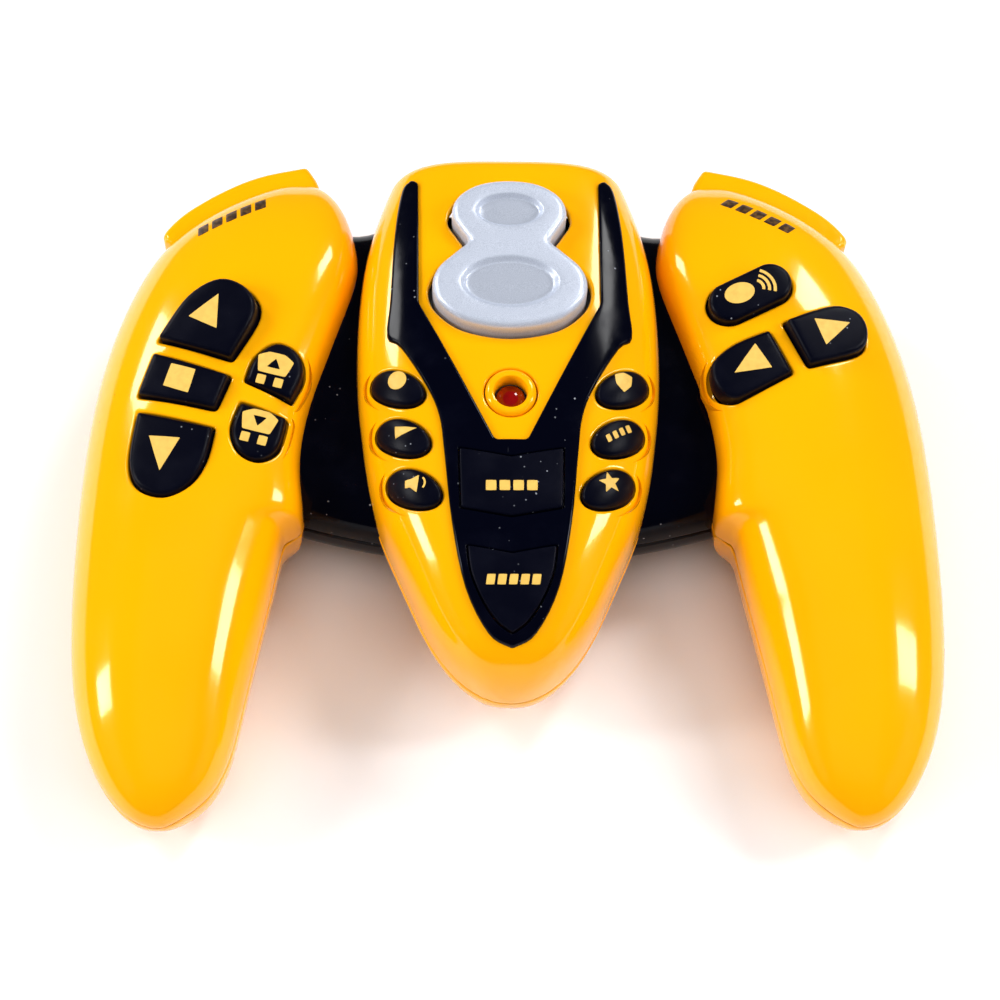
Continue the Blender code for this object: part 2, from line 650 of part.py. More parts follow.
def add_trigger(side, upper, lower):
    hand = "left" if side > 0 else "right"
    place = Matrix.Translation((side * TRIGGER_PIN[0] * MM, TRIGGER_PIN[1] * MM, 0))
    line = flip(curve(TRIGGER, (0, 7), 2, 0.7), side)
    pin = (side * TRIGGER_PIN[0], TRIGGER_PIN[1])
    rings = [(TRIGGER_LOW, -0.8), (TRIGGER_LOW + 0.8, 0), (TRIGGER_HIGH - 1.6, 0), (TRIGGER_HIGH - 0.5, -0.35),
             (TRIGGER_HIGH, -1.1)]
    trigger = stack(f"{hand}_trigger", line, rings, "yellow_gloss", Matrix(), pin)
    trigger.matrix_world = place
    bore = rod(f"cutter_{hand}_bore", (*pin, 5), (*pin, 30), 1.05)
    cut(trigger, bore)
    rod(f"{hand}_trigger_pin", (*pin, 10.9), (*pin, 23.3), 1.0, "steel", 14)
    slot = [(-62.6, 45.6), (-61.2, 42.2), (-57.2, 39.8), (-51.0, 43.6), (-45.0, 48.0), (-38.6, 48.6), (-32.6, 50.0),
            (-32.6, 58.0), (-36.0, 66.0), (-64.0, 62.0)]
    slot = flip(curve(slot, range(len(slot)), corner=0.4), side)
    cutter = stack(f"cutter_{hand}_trigger", slot, [(TRIGGER_LOW - 0.35, 0), (TRIGGER_HIGH + 0.35, 0)], None, Matrix())
    cut(upper, cutter)
    cut(lower, cutter)
    switch = side_box(f"{hand}_trigger_switch", side, (-54.2, 40.4, 14.8), (-50.2, 44.4, 19.2), "switch_plastic")
    cut(switch, side_box(f"cutter_{hand}_plunger", side, (-53.0, 44.0, 16.2), (-51.4, 45.4, 17.8)), "UNION")
    cut(switch, side_box(f"cutter_{hand}_post", side, (-53.7, 40.9, 8.0), (-50.7, 43.9, 15.2)), "UNION")


# ---------------------------------------------------------------- insides
def board_outline(y0, y1, margin, count):
    ys = np.linspace(y0, y1, count)
    right = [(POD_LINES[0](pod_way(y)) - margin, y) for y in ys]
    return right + [(-x, y) for x, y in reversed(right)]


def add_centre_insides():
    line = board_outline(-27, 43.5, 5.0, 7)
    stack("main_circuit_board", line, [(-10.0, 0), (-8.8, 0)], "circuit_board", CENTRE)
    line = board_outline(-24, 42, 7.0, 6)
    stack("centre_keypad_membrane", line, [(-8.5, 0), (-7.7, 0)], "membrane", CENTRE)
    rod("indicator_led", (0, 6.3, 26.6), (0, 6.5, 34.6), 2.45, "lens_red", 18, 2.2)
    rod("ir_emitter", (0, 46.2, 28.2), (0, 53.0, 28.2), 2.4, "window_black", 14, 1.8)


def add_side_insides(side):
    hand = "left" if side > 0 else "right"
    level = frame(side * -50, 8, 21.5, side * 0.04, 0.13)
    line = [(-15, -19), (4, -20), (10.5, -8), (13, 8), (14, 20), (1, 27), (-11, 20), (-15.5, 4)]
    line = flip(curve(line, (), 2), side)
    stack(f"{hand}_circuit_board", line, [(-2.4, 0), (-1.2, 0)], "circuit_board", level)
    stack(f"{hand}_keypad_membrane", line, [(-0.9, -0.8), (0, -0.8)], "membrane", level)
    path = [(-41, 8, 16.6), (-37.5, 9, 17.0), (-33, 10.5, 16.2), (-26, 12, 16.4), (-19, 12.5, 18.5), (-16, 13, 22.6)]
    tube(f"{hand}_wire_loom", [(side * x, y, z) for x, y, z in path], 1.1, "wire")


def add_screw(name, x, y, z, shells, head=2.7):
    verts = [(z, 0), (z + 1.6, 0), (z + 1.6, 1.3 - head), (z + 8.0, 1.3 - head)]
    screw = stack(name, ellipse(x, y, head, head, 0, 16), verts, "steel", Matrix())
    slot = [(-1.8, -0.35), (1.8, -0.35), (1.8, 0.35), (-1.8, 0.35)]
    cut(screw, stack(f"cutter_{name}_a", [(x + a, y + b) for a, b in slot], [(z - 1, 0), (z + 0.7, 0)], None, Matrix()))
    hole_cut = rod(f"cutter_{name}", (x, y, -2), (x, y, z + 2.2), head + GAP)
    for shell in shells:
        cut(shell, hole_cut)


DOOR = (-27.0, 2.0, 27.0, 40.0)  # x0, y0, x1, y1
DOOR_PIN = (40.0, 2.4)  # y, z of its hinge line


def add_battery_bay(lower):
    x0, y0, x1, y1 = DOOR
    box("cutter_door", (x0, y0, -3), (x1, y1 + 1.5, 6.5), None, None, 1.5)
    cut(lower, bpy.data.objects["cutter_door"])
    hinge = Matrix.Translation((0, DOOR_PIN[0] * MM, DOOR_PIN[1] * MM))
    line = [(x0 + GAP, y0 + GAP - 40), (x1 - GAP, y0 + GAP - 40), (x1 - GAP, 0.6), (x0 + GAP, 0.6)]
    line = curve(line, (0, 1, 2, 3), corner=1.5)
    door = stack("battery_door", line, [(-1.0, -0.3), (-0.7, 0), (0.8, 0)], "black_gloss", hinge)
    cut(door, rod("cutter_door_screw", (0, 6, -3), (0, 6, 8), 2.3))
    screw = stack("battery_door_screw", ellipse(0, 6, 2.0, 2.0, 0, 14), [(1.7, 0), (3.0, 0)], "steel", Matrix())
    cut(screw, box("cutter_door_slot", (-1.4, 5.7, 1), (1.4, 6.3, 2.3)))
    for k, y in enumerate((9.5, 21.0, 32.5)):
        rod(f"battery_cell_{k + 1}", (-22.3, y, 9.0), (22.3, y, 9.0), 5.2, "cell_wrap", 16)
    for side, hand in ((1, "left"), (-1, "right")):
        side_box(f"{hand}_battery_contacts", side, (-23.7, 4.5, 4.6), (-22.9, 37.5, 13.6), "steel")


def add_feet(side, lower):
    hand = "left" if side > 0 else "right"
    line = flip(curve([(-62, -30), (-54, -30), (-54, 20), (-62, 20)], (0, 1, 2, 3), corner=3.6), side)
    stack(f"{hand}_foot_pad", line, [(0, -0.4), (0.3, 0), (1.2, 0)], "foot_rubber", Matrix())
    cut(lower, stack(f"cutter_{hand}_foot", line, [(-2, GAP), (1.35, GAP)], None, Matrix()))


def build():
    clear_scene()
    left_top = grip_shell("left_grip_upper_shell", 1, True, 16, 12)
    left_low = grip_shell("left_grip_lower_shell", 1, False, 16, 10)
    right_top = grip_shell("right_grip_upper_shell", -1, True, 16, 12)
    right_low = grip_shell("right_grip_lower_shell", -1, False, 16, 10)
    pod = pod_upper_shell()
    nose = nose_shell()
    bridge_top = bridge_shell("bridge_upper_shell", True)
    bridge_low = bridge_shell("bridge_lower_shell", False)
    inlay = add_inlay()

    span = bridge_envelope(GAP)
    cut(pod, span)
    cut(nose, span)
    for side in (1, -1):
        grip = grip_envelope(side, GAP)
        cut(bridge_top, grip)
        cut(bridge_low, grip)

    add_keys(left_top, right_top)
    add_centre_keys(pod, inlay)
    add_rocker(pod)
    ring = ellipse(0, 0, 4.3, 4.3, 0, 24)
    bezel = stack("indicator_bezel", ring, [(-2.6, 0), (0.4, 0), (0.7, -0.35)], "yellow_gloss", LAMP)
    cut(bezel, stack("cutter_bezel", ellipse(0, 0, 2.8, 2.8, 0, 20), [(-8, 0), (6, 0)], None, LAMP))
    cut(pod, stack("cutter_lamp", ring, [(-8, 0.25), (6, 0.25)], None, LAMP))

    back = Matrix.Translation((0, POD_BACK * MM, 28.2 * MM)) @ Matrix.Rotation(math.radians(90), 4, "X")
    pane = curve([(-7, -2.6), (7, -2.6), (7, 2.6), (-7, 2.6)], (0, 1, 2, 3), corner=1.2)
    stack("ir_window", pane, [(-0.1, -0.3), (0.1, 0), (1.6, 0)], "window_black", back)
    cut(pod, stack("cutter_window", pane, [(-3, GAP), (4, GAP)], None, back))

    for side, upper, lower in ((1, left_top, left_low), (-1, right_top, right_low)):
        hand = "left" if side > 0 else "right"
        add_trigger(side, upper, lower)
        add_side_insides(side)
        wire = rod(f"cutter_{hand}_wire", (side * -42, 10.2, 16.2), (side * -26, 10.2, 16.2), 2.2)
        cut(upper, wire)
        cut(lower, wire)
        cut(bridge_top, rod(f"cutter_{hand}_rise", (side * -16, 13, 17), (side * -16, 13, 30), 2.6))
        add_screw(f"{hand}_case_screw_front", side * -56, -42, 2.0, [lower])
        add_screw(f"{hand}_case_screw_back", side * -50, 34, 2.6, [lower])
        add_feet(side, lower)
    add_screw("nose_screw", 0, -24, 7.0, [nose], 2.4)
    add_battery_bay(bridge_low)
    add_centre_insides()


build()
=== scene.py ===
"""Looks of the handheld remote controller: fine shells, keys, prints, materials, light and camera.

Lengths are in millimetres until they reach a mesh, in the CAD model's frame.
"""

import json
import math
from functools import lru_cache

import bmesh
import bpy
import numpy as np
from mathutils import Matrix, Vector
from mathutils.geometry import delaunay_2d_cdt


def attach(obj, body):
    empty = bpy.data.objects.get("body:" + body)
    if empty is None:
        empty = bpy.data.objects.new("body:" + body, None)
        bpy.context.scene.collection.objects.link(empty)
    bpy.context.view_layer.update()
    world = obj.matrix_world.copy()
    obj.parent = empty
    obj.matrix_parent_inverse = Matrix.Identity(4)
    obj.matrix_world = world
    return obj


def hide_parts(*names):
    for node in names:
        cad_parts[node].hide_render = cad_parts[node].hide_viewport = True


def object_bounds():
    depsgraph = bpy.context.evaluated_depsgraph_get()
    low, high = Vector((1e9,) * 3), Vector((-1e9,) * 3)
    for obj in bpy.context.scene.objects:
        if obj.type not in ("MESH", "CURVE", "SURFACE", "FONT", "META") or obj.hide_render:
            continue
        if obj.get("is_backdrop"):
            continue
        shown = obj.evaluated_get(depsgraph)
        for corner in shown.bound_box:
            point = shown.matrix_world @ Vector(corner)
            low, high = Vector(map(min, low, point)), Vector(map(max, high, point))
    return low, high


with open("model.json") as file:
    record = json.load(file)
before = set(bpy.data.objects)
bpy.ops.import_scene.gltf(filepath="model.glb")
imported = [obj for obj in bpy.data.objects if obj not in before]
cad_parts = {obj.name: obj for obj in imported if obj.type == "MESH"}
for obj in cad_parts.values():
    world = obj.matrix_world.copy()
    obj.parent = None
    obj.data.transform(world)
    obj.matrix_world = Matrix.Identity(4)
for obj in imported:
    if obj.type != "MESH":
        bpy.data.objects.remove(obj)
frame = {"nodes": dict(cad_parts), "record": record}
CAD_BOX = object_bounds()

MM = 0.001
SEAM = 0.15  # half the parting gap
SKIN = 1.1  # thickness of the moulded shells
SCENE = bpy.context.scene


# ================================================================ small helpers
class Spline:
    """Natural cubic through (x, y) pairs."""

    def __init__(self, pairs):
        self.x, y = np.array(sorted(pairs), float).T
        n, h = len(self.x), np.diff(self.x)
        a = np.eye(n)
        b = np.zeros(n)
        for i in range(1, n - 1):
            a[i, i - 1 : i + 2] = h[i - 1], 2 * (h[i - 1] + h[i]), h[i]
            b[i] = 6 * ((y[i + 1] - y[i]) / h[i] - (y[i] - y[i - 1]) / h[i - 1])
        self.y, self.m = y, np.linalg.solve(a, b)

    def __call__(self, x):
        i = int(np.clip(np.searchsorted(self.x, x) - 1, 0, len(self.x) - 2))
        h = self.x[i + 1] - self.x[i]
        p, q = (self.x[i + 1] - x) / h, (x - self.x[i]) / h
        bend = ((p**3 - p) * self.m[i] + (q**3 - q) * self.m[i + 1]) * h * h / 6
        return p * self.y[i] + q * self.y[i + 1] + bend


def smoothstep(t):
    t = min(max(t, 0.0), 1.0)
    return t * t * (3 - 2 * t)


def solve(function, target, low, high, steps=24):
    """Where a rising function reaches target, by halving."""
    for _ in range(steps):
        middle = (low + high) / 2
        low, high = (middle, high) if function(middle) < target else (low, middle)
    return (low + high) / 2


def placed(x, y, z, slope_x=0.0, slope_y=0.0):
    """A matrix whose XY plane passes through the point with these slopes."""
    normal = Vector((-slope_x, -slope_y, 1)).normalized()
    ex = Vector((1, 0, slope_x)).normalized()
    turn = Matrix((ex, normal.cross(ex), normal)).transposed().to_4x4()
    return Matrix.Translation(Vector((x, y, z))) @ turn


def add_piece(name, verts, faces, slot, body, nodes=(), matrix=None, sharp=40, finish=None):
    """Makes a piece from points in mm, welds it, and lets it ride on a CAD body.

    Its material is its slot's own finish unless another is given.
    """
    matrix = matrix or Matrix()
    bm = bmesh.new()
    made = [bm.verts.new((matrix @ Vector(v)) * MM) for v in verts]
    for face in faces:
        ring = [made[i] for k, i in enumerate(face) if i != face[k - 1]]
        if len(set(ring)) >= 3 and not bm.faces.get(ring):
            bm.faces.new(ring)
    bmesh.ops.remove_doubles(bm, verts=bm.verts, dist=1.5e-6)
    bmesh.ops.dissolve_degenerate(bm, dist=1e-6, edges=bm.edges)
    loose = [v for v in bm.verts if not v.link_faces]
    bmesh.ops.delete(bm, geom=loose, context="VERTS")
    bmesh.ops.recalc_face_normals(bm, faces=bm.faces)
    mesh = bpy.data.meshes.new(name)
    bm.to_mesh(mesh)
    bm.free()
    mesh.materials.append(finish or FINISHES[slot])
    mesh.shade_smooth()
    mesh.set_sharp_from_angle(angle=math.radians(sharp))
    piece = bpy.data.objects.new(name, mesh)
    SCENE.collection.objects.link(piece)
    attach(piece, body)
    if nodes:
        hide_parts(*nodes)
    return piece


def thicken(piece, wall=SKIN):
    """Gives an open sheet its wall, inwards."""
    modifier = piece.modifiers.new("wall", "SOLIDIFY")
    modifier.thickness = wall * MM
    modifier.offset = -1
    modifier.use_even_offset = False


def face_outwards(piece, centre):
    """Turns an open sheet's faces away from a point in mm."""
    mesh = piece.data
    centre = Vector(centre) * MM
    way = sum((p.center - centre).dot(p.normal) * p.area for p in mesh.polygons)
    if way < 0:
        mesh.flip_normals()


def carve(piece, cutter):
    """Boolean cut by a helper that is then deleted."""
    modifier = piece.modifiers.new("carve", "BOOLEAN")
    modifier.operation = "DIFFERENCE"
    modifier.solver = "MANIFOLD"
    modifier.object = cutter
    bpy.context.view_layer.update()
    graph = bpy.context.evaluated_depsgraph_get()
    carved = bpy.data.meshes.new_from_object(piece.evaluated_get(graph))
    piece.modifiers.clear()
    piece.data = carved
    carved.shade_smooth()
    carved.set_sharp_from_angle(angle=math.radians(35))
    bpy.data.objects.remove(cutter, do_unlink=True)


def block(line, low, high):
    """A cutter: an outline in plan between two heights."""
    count = len(line)
    bm = bmesh.new()
    made = [bm.verts.new(Vector((x, y, z)) * MM) for z in (low, high) for x, y in line]
    bm.faces.new(made[:count])
    bm.faces.new(made[count:])
    for i in range(count):
        j = (i + 1) % count
        bm.faces.new([made[i], made[j], made[count + j], made[count + i]])
    bmesh.ops.recalc_face_normals(bm, faces=bm.faces)
    mesh = bpy.data.meshes.new("cutter")
    bm.to_mesh(mesh)
    bm.free()
    cutter = bpy.data.objects.new("cutter", mesh)
    SCENE.collection.objects.link(cutter)
    return cutter


# ================================================================ outlines
def offset(line, distance):
    """Moves a counter-clockwise outline outwards, or inwards when negative, mitred at corners."""
    moved = []
    for i, p in enumerate(line):
        a = (Vector(p) - Vector(line[i - 1])).normalized()
        b = (Vector(line[(i + 1) % len(line)]) - Vector(p)).normalized()
        way = (a + b).normalized()
        reach = distance / max(way.dot(a), 0.5)
        moved.append((p[0] + way.y * reach, p[1] - way.x * reach))
    return moved


def curve(points, sharp=(), steps=5, corner=0.8):
    """Closed smooth line through points. Those in sharp keep a small rounded corner."""
    count = len(points)
    pts = [Vector(p) for p in points]
    line = []
    for i in range(count):
        a, b, c, d = (pts[(i + k) % count] for k in (-1, 0, 1, 2))
        start = (c - b) if i in sharp else (c - a) / 2
        end = (c - b) if (i + 1) % count in sharp else (d - b) / 2
        straight = i in sharp and (i + 1) % count in sharp
        span = (c - b).length
        first = corner / span if i in sharp else 0.0
        last = 1 - (corner / span if (i + 1) % count in sharp else 0.0)
        bow = Vector((c - b).yx) / span * Vector((1, -1)) * 0.025
        if i in sharp:
            p, q = b - (b - a).normalized() * corner, b + (c - b).normalized() * corner
            for t in (0.0, 0.25, 0.5, 0.75, 1.0):
                line.append(p * (1 - t) ** 2 + b * 2 * t * (1 - t) + q * t * t)
        else:
            line.append(b)
        for k in range(1, steps):
            t = first + (last - first) * k / steps
            h = 2 * t**3 - 3 * t**2 + 1, t**3 - 2 * t**2 + t, -2 * t**3 + 3 * t**2, t**3 - t**2
            free = h[0] * b + h[1] * start + h[2] * c + h[3] * end
            line.append(b.lerp(c, t) + bow * 4 * t * (1 - t) if straight else free)
    return [(p.x, p.y) for p in line]


class Outline:
    """A closed outline that can be asked for its inner and outer parallels, point for point."""

    def __init__(self, points, sharp=(), steps=5, corner=0.8):
        self.points, self.sharp, self.steps, self.corner = points, set(sharp), steps, corner

    def ring(self, distance=0.0):
        corner = max(self.corner + distance * 0.6, 0.12)
        return curve(offset(self.points, distance), self.sharp, self.steps, corner)


class Oval:
    """An ellipse, or with reach a stadium, tilted in degrees."""

    def __init__(self, x, y, a, b, tilt=0.0, count=48, reach=0.0):
        self.centre, self.radii, self.tilt, self.count, self.reach = (x, y), (a, b), tilt, count, reach

    def ring(self, distance=0.0):
        c, s = math.cos(math.radians(self.tilt)), math.sin(math.radians(self.tilt))
        a, b = (max(r + distance, 0.05) for r in self.radii)
        line = []
        for k in range(self.count):
            t = 2 * math.pi * (k + 0.5) / self.count
            x = a * math.cos(t) + math.copysign(self.reach, math.cos(t))
            y = b * math.sin(t)
            line.append((self.centre[0] + x * c - y * s, self.centre[1] + x * s + y * c))
        return line


def inside(points, line):
    """Which points of an array lie inside a closed line."""
    points, line = np.asarray(points, float), np.asarray(line, float)
    after = np.roll(line, -1, axis=0)
    found = np.zeros(len(points), bool)
    for (x0, y0), (x1, y1) in zip(line, after):
        crosses = (y0 > points[:, 1]) != (y1 > points[:, 1])
        if y0 != y1:
            found ^= crosses & (points[:, 0] < (x1 - x0) * (points[:, 1] - y0) / (y1 - y0) + x0)
    return found


def far_from(points, line, gap):
    """Which points lie at least gap away from a closed line."""
    points, line = np.asarray(points, float), np.asarray(line, float)
    start, way = line, np.roll(line, -1, axis=0) - line
    length = np.maximum((way**2).sum(1), 1e-12)
    nearest = np.full(len(points), 1e9)
    for p, d, n in zip(start, way, length):
        t = np.clip(((points - p) @ d) / n, 0, 1)
        nearest = np.minimum(nearest, ((points - p - t[:, None] * d) ** 2).sum(1))
    return nearest > gap * gap


def triangulate(loops, loose, outer, inner):
    """Triangles between closed loops of points, with loose points between them.

    Returns the triangles as indices into the loops' points followed by the loose ones.
    """
    verts, edges = [], []
    for loop in loops:
        first = len(verts)
        verts += loop
        edges += [(first + i, first + (i + 1) % len(loop)) for i in range(len(loop))]
    verts += [tuple(p) for p in loose]
    made = delaunay_2d_cdt([Vector(v) for v in verts], edges, [], 0, 1e-7)
    source = [ids[0] if ids else -1 for ids in made[3]]
    centres = np.array([sum((made[0][i] for i in f), Vector((0, 0))) / 3 for f in made[2]])
    keep = inside(centres, outer)
    for hole in inner:
        keep &= ~inside(centres, hole)
    faces = [[source[i] for i in f] for f, k in zip(made[2], keep) if k]
    return [f for f in faces if min(f) >= 0]


def grid_inside(outer, inner, pitch, gap):
    """A triangular grid of points inside a line and outside others."""
    box = np.array(outer)
    low, high = box.min(0), box.max(0)
    points = [
        (low[0] + (i + 0.5 * (j % 2)) * pitch, low[1] + j * pitch * 0.87)
        for j in range(int((high[1] - low[1]) / pitch / 0.87) + 2)
        for i in range(int((high[0] - low[0]) / pitch) + 2)
    ]
    points = np.array(points)
    keep = inside(points, outer) & far_from(points, outer, gap)
    for hole in inner:
        keep &= ~inside(points, hole) & far_from(points, hole, gap)
    return points[keep]


def arc(radius, steps):
    """(distance from the edge, drop) pairs of a rounded edge, from its wall to its flat."""
    turns = [math.pi / 2 * k / steps for k in range(steps + 1)]
    return [(radius * (1 - math.cos(t)), radius * (1 - math.sin(t))) for t in turns]


# ================================================================ slabs: keys, plates, prints
def slab(name, outline, top, bottom, matrix, slot, body, nodes=(), holes=(), creases=(),
         rim=0.6, low_rim=0.0, steps=5, pitch=1.1, sharp=40, finish=None):
    """A closed solid in a frame: an outline between two heights, its edges rounded.

    top and bottom are heights or functions of (x, y). creases are extra loops to follow on top.
    """
    over = top if callable(top) else (lambda x, y: top)
    under = bottom if callable(bottom) else (lambda x, y: bottom)
    verts, faces = [], []

    def add_ring(line, height, drop):
        verts.extend((x, y, height(x, y) - drop) for x, y in line)
        return list(range(len(verts) - len(line), len(verts)))

    def bridge(a, b):
        for i in range(len(a)):
            j = (i + 1) % len(a)
            faces.append([a[i], a[j], b[j], b[i]])

    top_loops, low_loops, top_lines, low_lines = [], [], [], []
    for k, shape in enumerate([outline, *holes]):
        way = -1 if k == 0 else 1
        edge = rim if k == 0 else min(rim, 0.3)
        profile = [(way * d, drop) for d, drop in arc(edge, steps)]
        rings = [add_ring(shape.ring(d), over, drop) for d, drop in profile]
        low = [(way * d, -drop) for d, drop in arc(low_rim, 3)] if low_rim else [(0.0, 0.0)]
        lows = [add_ring(shape.ring(d), under, drop) for d, drop in low]
        for a, b in zip(rings, rings[1:]):
            bridge(a, b)
        bridge(lows[0], rings[0])
        for a, b in zip(lows, lows[1:]):
            bridge(b, a)
        top_loops.append(rings[-1])
        low_loops.append(lows[-1])
        top_lines.append(shape.ring(way * edge))
        low_lines.append(shape.ring(low[-1][0]))

    extra = [crease.ring() if hasattr(crease, "ring") else crease for crease in creases]
    ids = [i for loop in top_loops for i in loop]
    for line in extra:
        ids += add_ring(line, over, 0.0)
    loose = grid_inside(top_lines[0], top_lines[1:], pitch, pitch * 0.45)
    for line in extra:
        loose = loose[far_from(loose, line, pitch * 0.4)]
    ids += add_ring([tuple(p) for p in loose], over, 0.0)
    cap = triangulate(top_lines + extra, loose, top_lines[0], top_lines[1:])
    faces += [[ids[i] for i in f] for f in cap]

    ids = [i for loop in low_loops for i in loop]
    loose = []
    if callable(bottom):
        loose = grid_inside(low_lines[0], low_lines[1:], pitch * 2, pitch)
        ids += add_ring([tuple(p) for p in loose], under, 0.0)
    cap = triangulate(low_lines, loose, low_lines[0], low_lines[1:])
    faces += [[ids[i] for i in f][::-1] for f in cap]
    return add_piece(name, verts, faces, slot, body, nodes, matrix, sharp, finish)


def lathe(name, profile, matrix, slot, body, nodes=(), count=64, sharp=35):
    """Turns (radius, height) pairs about the frame's Z."""
    verts, faces = [], []
    for radius, height in profile:
        for k in range(count):
            t = 2 * math.pi * k / count
            verts.append((radius * math.cos(t), radius * math.sin(t), height))
    for i in range(len(profile)):
        j = (i + 1) % len(profile)
        if j == 0 and profile[0][0] < 0.01 and profile[-1][0] < 0.01:
            continue
        for k in range(count):
            n = (k + 1) % count
            faces.append([i * count + k, i * count + n, j * count + n, j * count + k])
    return add_piece(name, verts, faces, slot, body, nodes, matrix, sharp)


# ================================================================ curved shells
def super_point(angle, power_a, power_b):
    """Superellipse of two halves: (-1..1 across, 0..1 up)."""
    c, s = math.cos(angle), max(math.sin(angle), 0.0)
    power = power_a if c > 0 else power_b
    return math.copysign(abs(c) ** (2 / power), c), s ** (2 / power)


LIP = 0.22  # how far the edge at a parting line turns in


def tuck(height):
    """The small rounding of a shell's edge, for a point this far above its parting line."""
    return LIP * (1 - smoothstep(abs(height) / 0.45))


GRIP_MID, GRIP_REACH = -2.0, 59.4
GRIP_OUTER = [
    (-61.4, -57.0), (-60.0, -61.4), (-55.2, -66.0), (-48.1, -69.6), (-38.1, -72.1),
    (-28.0, -73.1), (-14.7, -73.38), (-1.9, -73.1), (9.3, -72.3), (18.9, -70.9),
    (28.6, -68.5), (36.5, -65.6), (42.0, -62.6), (46.0, -59.0), (50.5, -53.0),
    (54.2, -46.4), (57.4, -38.0),
]
GRIP_INNER = [
    (-61.4, -57.0), (-59.9, -53.2), (-56.5, -49.2), (-51.2, -46.3), (-42.1, -44.2),
    (-31.9, -42.3), (-21.5, -40.2), (-13.0, -38.6), (-6.0, -37.4), (0.0, -36.4),
    (6.0, -35.2), (12.0, -33.8), (18.6, -31.8), (25.3, -29.7), (32.0, -27.6),
    (37.5, -26.5), (43.5, -27.0), (49.5, -28.8), (54.0, -31.6), (57.4, -38.0),
]
GRIP_CREST = [
    (-61.4, 11.8), (-59.5, 15.8), (-56.0, 18.4), (-50.0, 20.9), (-40.0, 23.5),
    (-25.0, 26.1), (-10.0, 28.1), (5.0, 29.7), (20.0, 31.1), (32.0, 31.6),
    (42.0, 30.9), (50.0, 28.8), (54.5, 26.0), (56.8, 22.6), (57.4, 18.3),
]
GRIP_FLOOR = [
    (-61.4, 11.8), (-60.0, 7.6), (-57.0, 4.4), (-50.0, 1.9), (-38.0, 0.7),
    (-20.0, 0.6), (10.0, 0.6), (30.0, 0.9), (42.0, 2.4), (50.0, 5.4),
    (55.0, 9.5), (57.4, 18.3),
]
CREST_AT = 0.55
ARMPIT_Y, ARMPIT_STEP = -10.8, 2.9


def grip_turn(y):
    return math.acos(max(-1.0, min(1.0, (GRIP_MID - y) / GRIP_REACH)))


GRIP_LINES = [
    Spline([(grip_turn(y), v) for y, v in line])
    for line in (GRIP_OUTER, GRIP_INNER, GRIP_CREST, GRIP_FLOOR)
]


def grip_parting(y):
    return 15.2 + 0.055 * y


@lru_cache(maxsize=None)
def grip_section(turn):
    """y, then the outer, inner, crest and floor lines at one station."""
    return (GRIP_MID - GRIP_REACH * math.cos(turn), *(line(turn) for line in GRIP_LINES))


def grip_point(turn, angle, upper=True):
    """A point of the left grip. angle runs from the outer edge, over the crest, to the inner."""
    y, out, inn, crest, floor = grip_section(turn)
    mid = out + CREST_AT * (inn - out)
    height = (crest if upper else floor) - grip_parting(y) if abs(out - inn) > 0.01 else 0.0
    if upper:
        across, rise = super_point(angle, 2.2, 2.4 + 1.9 * smoothstep((y + 25) / 32))
    else:
        across, rise = super_point(angle, 2.6, 2.9)
    half = (out if across > 0 else inn) - mid
    half = math.copysign(max(abs(half) - tuck(height * rise), 0.0), half)
    x = mid + abs(across) * half
    if across < 0:
        lift = (y - ARMPIT_Y) / 0.45
        step = ARMPIT_STEP / (1 + math.exp(-max(min(lift, 40), -40)))
        fade = math.exp(-(((y - ARMPIT_Y) / 9.5) ** 2)) if y > ARMPIT_Y else 1.0
        x += step * fade * smoothstep((abs(across) - 0.5) / 0.5) * (1 if upper else 1 - rise * rise)
    return x, y, grip_parting(y) + (SEAM if upper else -SEAM) + height * rise


class GripSurface:
    """The upper skin of one grip. side is 1 for the left hand and -1 for the right."""

    spread = (60.0, 22.0)  # mm in the flat map for each radian along and across

    def __init__(self, side):
        self.side = side

    def point(self, along, across):
        x, y, z = grip_point(along, across)
        return Vector((self.side * x, y, z))

    def locate(self, p):
        along = grip_turn(p.y)
        across = solve(lambda a: grip_point(along, a)[0], self.side * p.x, 0.02, math.pi - 0.02)
        return along, across


POD_TIP, POD_MID, POD_BACK, POD_FILLET = -40.6, 12.0, 55.2, 3.4
POD_WIDTH = [
    (-40.6, 0.0), (-39.7, 4.4), (-38.0, 7.2), (-33.8, 11.2), (-26.9, 15.2),
    (-20.1, 18.2), (-12.0, 21.6), (-4.0, 23.9), (4.0, 25.2), (12.0, 26.1),
    (22.0, 26.4), (32.0, 26.0), (42.0, 24.5), (49.0, 22.5), (55.2, 20.4),
]
POD_CREST = [
    (-40.6, 14.0), (-40.0, 19.6), (-38.4, 23.8), (-35.9, 26.8), (-31.0, 29.3),
    (-25.0, 31.1), (-15.0, 32.9), (-5.0, 34.1), (5.0, 35.0), (15.0, 35.7),
    (30.0, 36.2), (45.0, 36.2), (55.2, 35.6),
]
POD_POWER = 3.7
POD_REACH = POD_MID - POD_TIP


def pod_way(y):
    if y < POD_MID:
        return math.acos(min(1.0, (POD_MID - y) / POD_REACH))
    return math.pi / 2 + (y - POD_MID) / POD_REACH


def pod_y(way):
    if way < math.pi / 2:
        return POD_MID - POD_REACH * math.cos(way)
    return POD_MID + (way - math.pi / 2) * POD_REACH


POD_LINES = [Spline([(pod_way(y), v) for y, v in line]) for line in (POD_WIDTH, POD_CREST)]
FILLET_WAY = pod_way(POD_BACK - POD_FILLET)
FILLET_SPAN = POD_FILLET * math.pi / 2 / POD_REACH
BACK_SPAN = 0.35  # how much of the flat map the back wall takes


def pod_parting(y):
    return 14.0 + 0.05 * (y + 40)


